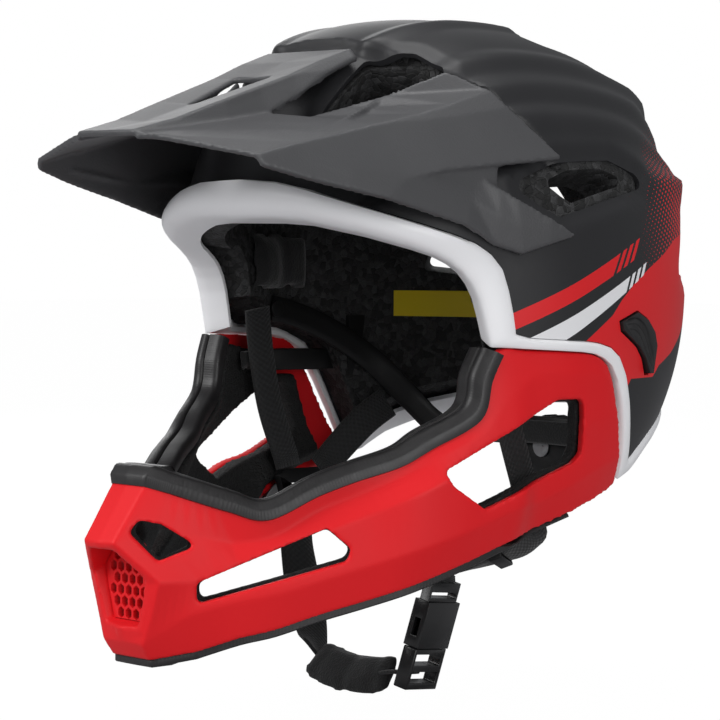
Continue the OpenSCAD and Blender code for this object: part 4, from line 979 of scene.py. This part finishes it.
def recess(grow, front, back):
    """The leaning opening of the nose, narrowing to the upright grille."""
    return hull_of("recess", [on_nose(u, v, front) for u, v in grown(NOSE, grow)]
                   + [on_grille(u, v, -back) for u, v in grown(GRILLE, grow)])


def grille_way(grow, front):
    """The straight way through behind the grille."""
    return hull_of("way", [on_grille(u, v, d) for u, v in grown(GRILLE, grow) for d in (-30, front)])


# %% Chin guard
guard = loft("chin_guard_moulded", both_sides(refine([station(i, 0, 5) for i in range(GUARD_N)], 5, 3)))
block = loft("nose_block", both_sides([station(i, 0, 20) for i in range(3)]))
cut(block, recess(1.8, 2, 3), operation="INTERSECT")
cut(guard, block, operation="UNION")
cut(guard, *window_tools(2.6), recess(0, 2, -1.5), grille_way(0.3, 1.5))
remoulded(guard, 0.95, 2)
finish(guard, red_paint, "guard_red", "chin_guard", "chin_guard")

# %% [markdown]
# The foam inside the guard follows the same stations, under an 8 mm thickness.

# %% Foam in the guard
rows = []
for i in range(GUARD_N - 2):
    top = 1.6 + 8.4 * ease((i - FRONT_N + 1.5) / 1.5)
    rows.append(station(i, 6 + (1 if i < 3 else 0), 8, top, 2))
padding = loft("guard_foam_moulded", both_sides(refine(rows, 4, 3)))
cut(padding, *window_tools(1.6), recess(2.3, 2, 4), grille_way(2.3, 0))
for way in (1, -1):
    corners = [(way * x, y, z) for x in (86, 100) for y in (-22, 8) for z in (-24, -10)]
    cut(padding, hull_of("arm room", corners))
remoulded(padding, 1.25, 3)
finish(padding, guard_foam, "liner_foam", "chin_guard", "chin_guard_liner")
edged("front_grille", "nose_grille", 0.25, red_paint, "guard_red", "chin_guard")

# %% [markdown]
# ## Rubber bead and strip
# A black bead is pushed over the guard's top edge. It has a groove along its crest and fine ribs
# across it, as extruded rubber gets from its textile backing. A flat strip closes the bottom edge.

# %% Ribbed rubber
bead_rubber, tree, hide = new_finish("ribbed extruded rubber")
axes = add(tree, "SeparateXYZ", (add(tree, "UVMap"),)).node.outputs
turns = add(tree, "Math", (axes[1], 2 * math.pi / 1.5), operation="MULTIPLY")
ribs = add(tree, "Math", (turns,), operation="SINE")
place = add(tree, "TexCoord", out="Object")
dust = add(tree, "TexNoise", {"Vector": place, "Scale": 220.0, "Detail": 4.0})
high = add(tree, "Math", (ribs, 0.15, dust), operation="MULTIPLY_ADD")
spread = add(tree, "MapRange", {"Value": dust, "To Min": 0.36, "To Max": 0.54})
coat(tree, hide, dust, linear("#111011"), linear("#211f20"), high, 0.45, 0.2, {"Roughness": spread})

# %% Bead
BEAD = [(0.5, -1.6), (1.5, -1.2), (1.7, 2.4), (1.0, 3.6), (0, 4.6), (-1.0, 6.0), (-2.2, 6.8), (-3.8, 7.1),
        (-5, 6.9), (-5.6, 6.2), (-6, 5.6), (-6.4, 6.2), (-7, 6.9), (-9.5, 6.9), (-12, 6.7), (-13.8, 6.1),
        (-14.5, 4.8), (-14.6, 3), (-14.2, 0.9)]


def bead_station(i):
    """The bead's section on the guard's top line, square to it."""
    p, out = Vector(GUARD[i][0]), front_out(i)
    after, before = Vector(GUARD[min(i + 1, FRONT_N - 1)][0]), Vector(GUARD[max(i - 1, 0)][0])
    ahead = Vector((1, 0, 0)) if i == 0 else (after - before).normalized()
    rise = ahead.cross(out).normalized()
    rise = -rise if rise.z < 0 else rise
    p += Vector((0, -0.3, -1.5)) if i == FRONT_N - 1 else Vector()
    return [p + out * u + rise * v for u, v in BEAD]


# %% Make the bead
rows = [bead_station(i) for i in range(FRONT_N)]
bead = loft("guard_bead_moulded", both_sides(refine(rows, 8, 2)), (45, 420))
finish(bead, bead_rubber, "soft_rubber", "chin_guard", "guard_bead", smooth=45)


# %% Strip
def strip_station(i):
    """The strip's section, under the guard's bottom edge and the foam."""
    a, b = guard_point(i, 4, 1.2, 0), guard_point(i, 4, 13, 0)
    top = -0.6 if i < FRONT_N - 1 else 2
    across = (b - a).normalized()
    section = ((a, 0, top + 0.5), (a, 0, 2.6), (a, 0.6, 3.2), (b, -0.6, 3.2), (b, 0, 2.6), (b, 0, top + 0.5),
               (b, -0.5, top), (a, 0.5, top))
    return [p + across * along - Vector((0, 0, drop)) for p, along, drop in section]


rows = [strip_station(i) for i in range(GUARD_N - 3)]
strip = loft("guard_strip_moulded", both_sides(refine(rows, 6, 2)), (30, 480))
finish(strip, bead_rubber, "soft_rubber", "chin_guard", "guard_strip", smooth=45)

# %% [markdown]
# ## Latches
# The black tabs behind the ears release the guard. Each is soft rubber over a hard stem, with three
# wavy grooves for the thumb. The grooves are cut by thin bars that follow the wave.

# %% Latch buttons
WAVES = [[(-10, 9), (-2, 9.4), (5.5, 5.5), (9.6, -1), (12.2, -7), (12.2, -12.5)],
         [(-10.5, 7), (-2.5, 6.9), (3.6, 2.8), (7.6, -3.4), (10.4, -8.6)],
         [(-9, 5), (-3.4, 4.4), (1.4, 0.9), (5.4, -5.2)]]


# %% Make the buttons and their seats
def groove(line, mirror):
    """A thin diamond bar along a wavy line on the tab's face."""
    section = ((-0.45, 1.62), (0, 2.4), (0.45, 1.62), (0, 0.9))
    return loft("groove", refine([[on_tab(u, v + y, out, mirror) for y, out in section] for u, v in line], 4))


SIDES = (("left", 1), ("right", -1))
HARD = (black_pp, "black_plastic")
for side_name, way in SIDES:
    button = copy_of("latch_button_" + side_name, "release_tab_" + side_name)
    soften(button, 0.5)
    cut(button, *[groove(line, way) for line in WAVES])
    finish(button, soft_rubber, "soft_rubber", "latch_" + side_name, "latch_button_" + side_name, smooth=35)
    edged("latch_socket_" + side_name, "latch_housing_" + side_name, 0.5, *HARD, "root")
    edged("guard_tongue_" + side_name, "latch_tongue_" + side_name, 0.4, *HARD, "chin_guard")

# %% [markdown]
# ## Straps
# The webbing is flat nylon tape. A strap is a thin bar with soft edges that follows a smooth line,
# and it turns its face as it goes, because the tape is held flat at each end.

# %% Tape along a smooth line
TAPE = [(1, 0.35), (0.93, 1), (0.4, 1.05), (-0.4, 1.05), (-0.93, 1), (-1, 0.35), (-1, -0.35), (-0.93, -1),
        (-0.4, -1.05), (0.4, -1.05), (0.93, -1), (1, -0.35)]


def tape(name, route, wide, width, thick, look, slot, *nodes):
    """A flat strap through points; wide gives its width's direction at each of them."""
    line = refine([[Vector(p), Vector(w)] for p, w in zip(route, wide)], 7)
    rings, run = [], 0.0
    for k, (p, w) in enumerate(line):
        before, after = line[max(k - 1, 0)][0], line[min(k + 1, len(line) - 1)][0]
        ahead = (after - before).normalized()
        run += (p - before).length
        w = (w - ahead * w.dot(ahead)).normalized()
        face = ahead.cross(w)
        rings.append([p + w * (u * width / 2) + face * (v * thick / 2) for u, v in TAPE])
    piece = loft(name, rings, (2 * (width + thick), run))
    finish(piece, look, slot, "root", *nodes)


# %% The straps' routes
def flipped(points, way):
    """Points on one side of the helmet or, where way is -1, on the other."""
    return [(p[0] * way, p[1], p[2]) for p in points]


FRONT_STRAP = [(75.4, -36, 8), (76.6, -32.4, -12), (77.2, -26, -38), (76.6, -17, -60.6), (76.4, -15.6, -65),
               (76.3, -15.2, -67)]
REAR_STRAP = [(66.2, 40, -38), (69.6, 27, -47), (75.2, 11.5, -63.5), (76.2, 5.6, -69.4)]
REAR_WIDE = [(0.37, -0.58, 0.8), (0.37, -0.58, 0.8), (0.15, -0.58, 0.8), (0, -0.7, 0.7)]
BUCKLE = Vector((40, -38, -137))
PULL = Vector((0.2, 0.15, 0.96)).normalized()
ACROSS = PULL.cross(Vector((-0.17, 0.985, 0))).cross(PULL).normalized()
LEFT_STRAP = [(76.3, -10, -85), (76, -10.4, -88), (70, -17, -95), (56, -27.5, -102), BUCKLE + PULL * 34,
              BUCKLE + PULL * 29]
LEFT_WIDE = [(0, 1, 0)] * 3 + [(0, 1, 0.1), ACROSS, ACROSS]
RIGHT_STRAP = [(-76.3, -10, -85), (-76, -10.4, -88), (-69, -16, -101), (-59, -21, -120), (-48.5, -26.5, -134),
               (-39, -32.6, -144.8), (-32, -37, -148.4)]
RIGHT_WIDE = [(0, 1, 0)] * 3 + [(0.2, 1, 0), (0.2, 0.95, -0.2), (0.1, 0.8, -0.5), (0, 0.7, -0.7)]

# %% Make the straps
WEBBING = (1.6, webbing_weave, "webbing")
for side_name, way in SIDES:
    tape("front_webbing_" + side_name, flipped(FRONT_STRAP, way), [(0, 1, 0)] * 6, 15, *WEBBING,
         "front_strap_" + side_name)
    tape("rear_webbing_" + side_name, flipped(REAR_STRAP, way), flipped(REAR_WIDE, way), 15, *WEBBING,
         "rear_strap_" + side_name)
    edged("strap_divider_" + side_name, "divider_" + side_name, 0.8, *HARD, "root")
tape("chin_webbing_left", LEFT_STRAP, LEFT_WIDE, 19, *WEBBING, "chin_strap_left")
tape("chin_webbing_right", RIGHT_STRAP, RIGHT_WIDE, 19, *WEBBING, "chin_strap_right")
PLUG_END = [(24.7, -42.5, -149.8), (28, -42.3, -149.1), (33, -40.9, -149.2)]
tape("plug_webbing", PLUG_END, [ACROSS] * 3, 19, *WEBBING)
edged("strap_anchors", "strap_plates", 0.25, *HARD, "root")
edged("strap_keeper", "webbing_keeper", 0.8, *HARD, "root")

# %% [markdown]
# ## Buckle
# A side-release buckle of glossy acetal: the socket holds three fingers of the plug. The solids have
# its real walls and slots, so they only need their soft edges.

# %% Buckle
edged("buckle_socket", "buckle_socket_moulded", 0.7, acetal, "black_plastic", "root")
edged("buckle_plug", "buckle_plug_moulded", 0.6, acetal, "black_plastic", "buckle_plug")

# %% [markdown]
# ## Fit system
# A thin nylon band hangs inside the liner and runs into the cradle at the nape, where a dial with
# a knurled rim draws it in.

# %% Headband, cradle and dial
BAND = [(76.2, -26, 8), (78.4, -10, 5), (77.4, 12, -3), (72, 34, -17), (60, 47, -34), (47, 52, -46.5),
        (38.8, 55.5, -50), (38, 61, -50), (38, 78, -50)]
for side_name, way in SIDES:
    tape("headband_" + side_name, flipped(BAND, way), [(0, 0, 1)] * len(BAND), 12, 1.5, *HARD, "headband")
edged("headband_anchors", "headband_buttons", 0.3, *HARD, "root")
edged("cradle_housing", "cradle_moulded", 1.0, *HARD, "cradle")
edged("fit_dial", "knurled_dial", 0.5, soft_rubber, "black_plastic", "dial")

# %% Pieces whose solids are right as they are
for name, made in (("dial_screw", steel), ("latch_spring_left", steel), ("latch_spring_right", steel),
                   ("visor_pegs", soft_rubber), ("visor_grommets", soft_rubber)):
    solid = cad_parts[name]
    solid.data.materials.clear()
    solid.data.materials.append(made)

# %% [markdown]
# ## Comfort pads
# Each pad is soft foam in a sewn cover. The copy of its solid is remeshed evenly and drawn in a
# little, and a cloth simulation with pressure swells it, so the cover rounds between its seams.
# How far a point may move is capped, because the pad lies against the liner.

# %% Pads by cloth and pressure
FRAMES, PRESSURE = 20, 4


def plump(node, name, body, voxel=2.4, cap=0.9, push=0.5):
    """A sewn pad from its solid; voxel, cap and push are in millimetres."""
    piece = copy_of(node, name)
    shape_with(piece, "REMESH", mode="VOXEL", voxel_size=voxel / MM, adaptivity=0)
    rest = [v.co.copy() for v in piece.data.vertices]
    for v, p in zip(piece.data.vertices, rest):
        v.co = p - v.normal * push / MM
    choose(piece)
    cover = piece.modifiers.new("cover", "CLOTH")
    cover.settings.quality = 6
    cover.settings.mass = 0.2
    cover.settings.use_pressure = True
    cover.settings.uniform_pressure_force = PRESSURE
    cover.settings.effector_weights.gravity = 0
    cover.point_cache.frame_start, cover.point_cache.frame_end = 1, FRAMES
    for step in range(1, FRAMES + 1):
        bpy.context.scene.frame_set(step)
    swollen = piece.evaluated_get(bpy.context.evaluated_depsgraph_get())
    moved = [v.co.copy() for v in swollen.data.vertices]
    piece.modifiers.remove(cover)
    bpy.context.scene.frame_set(1)
    for v, p, q in zip(piece.data.vertices, rest, moved):
        step = q - p
        v.co = p + step * min(1, cap / MM / max(step.length, 1e-9))
    shape_with(piece, "SMOOTH", factor=0.5, iterations=2)
    shape_with(piece, "SUBSURF", levels=1, render_levels=1)
    finish(piece, pad_cloth, "pad_fabric", body, node, smooth=60)


# %% Make the pads
plump("crown_pad", "crown_cushion", "root")
plump("brow_pad", "brow_cushion", "root")
for side_name, way in SIDES:
    plump("temple_pad_" + side_name, "temple_cushion_" + side_name, "root")
    plump("cheek_pad_" + side_name, "cheek_cushion_" + side_name, "chin_guard", voxel=1.5, cap=0.5,
          push=0.3)
plump("nape_pad", "nape_cushion", "cradle", voxel=1.5, cap=0.6, push=0.4)
plump("chin_pad", "chin_cushion", "root", voxel=1.8, cap=0.6, push=0.4)

# %% [markdown]
# ## Label
# A plain yellow sticker on the inside of the liner. It is left blank.

# %% Blank label
LABEL_START, LABEL_LOW, LABEL_HIGH, VINYL = -154, -2, 15.5, 0.3  # degrees, then millimetres
label = net("blank_sticker", 24, 12,
            lambda i, j: skin(LABEL_START + i, LABEL_LOW + LABEL_HIGH * j / 12, FOAM_DEEP + VINYL))
close_up(label, fill=False)
shape_with(label, "SOLIDIFY", thickness=VINYL / MM, offset=0)
finish(label, label_vinyl, "label_vinyl", "root", "inner_label", smooth=40)
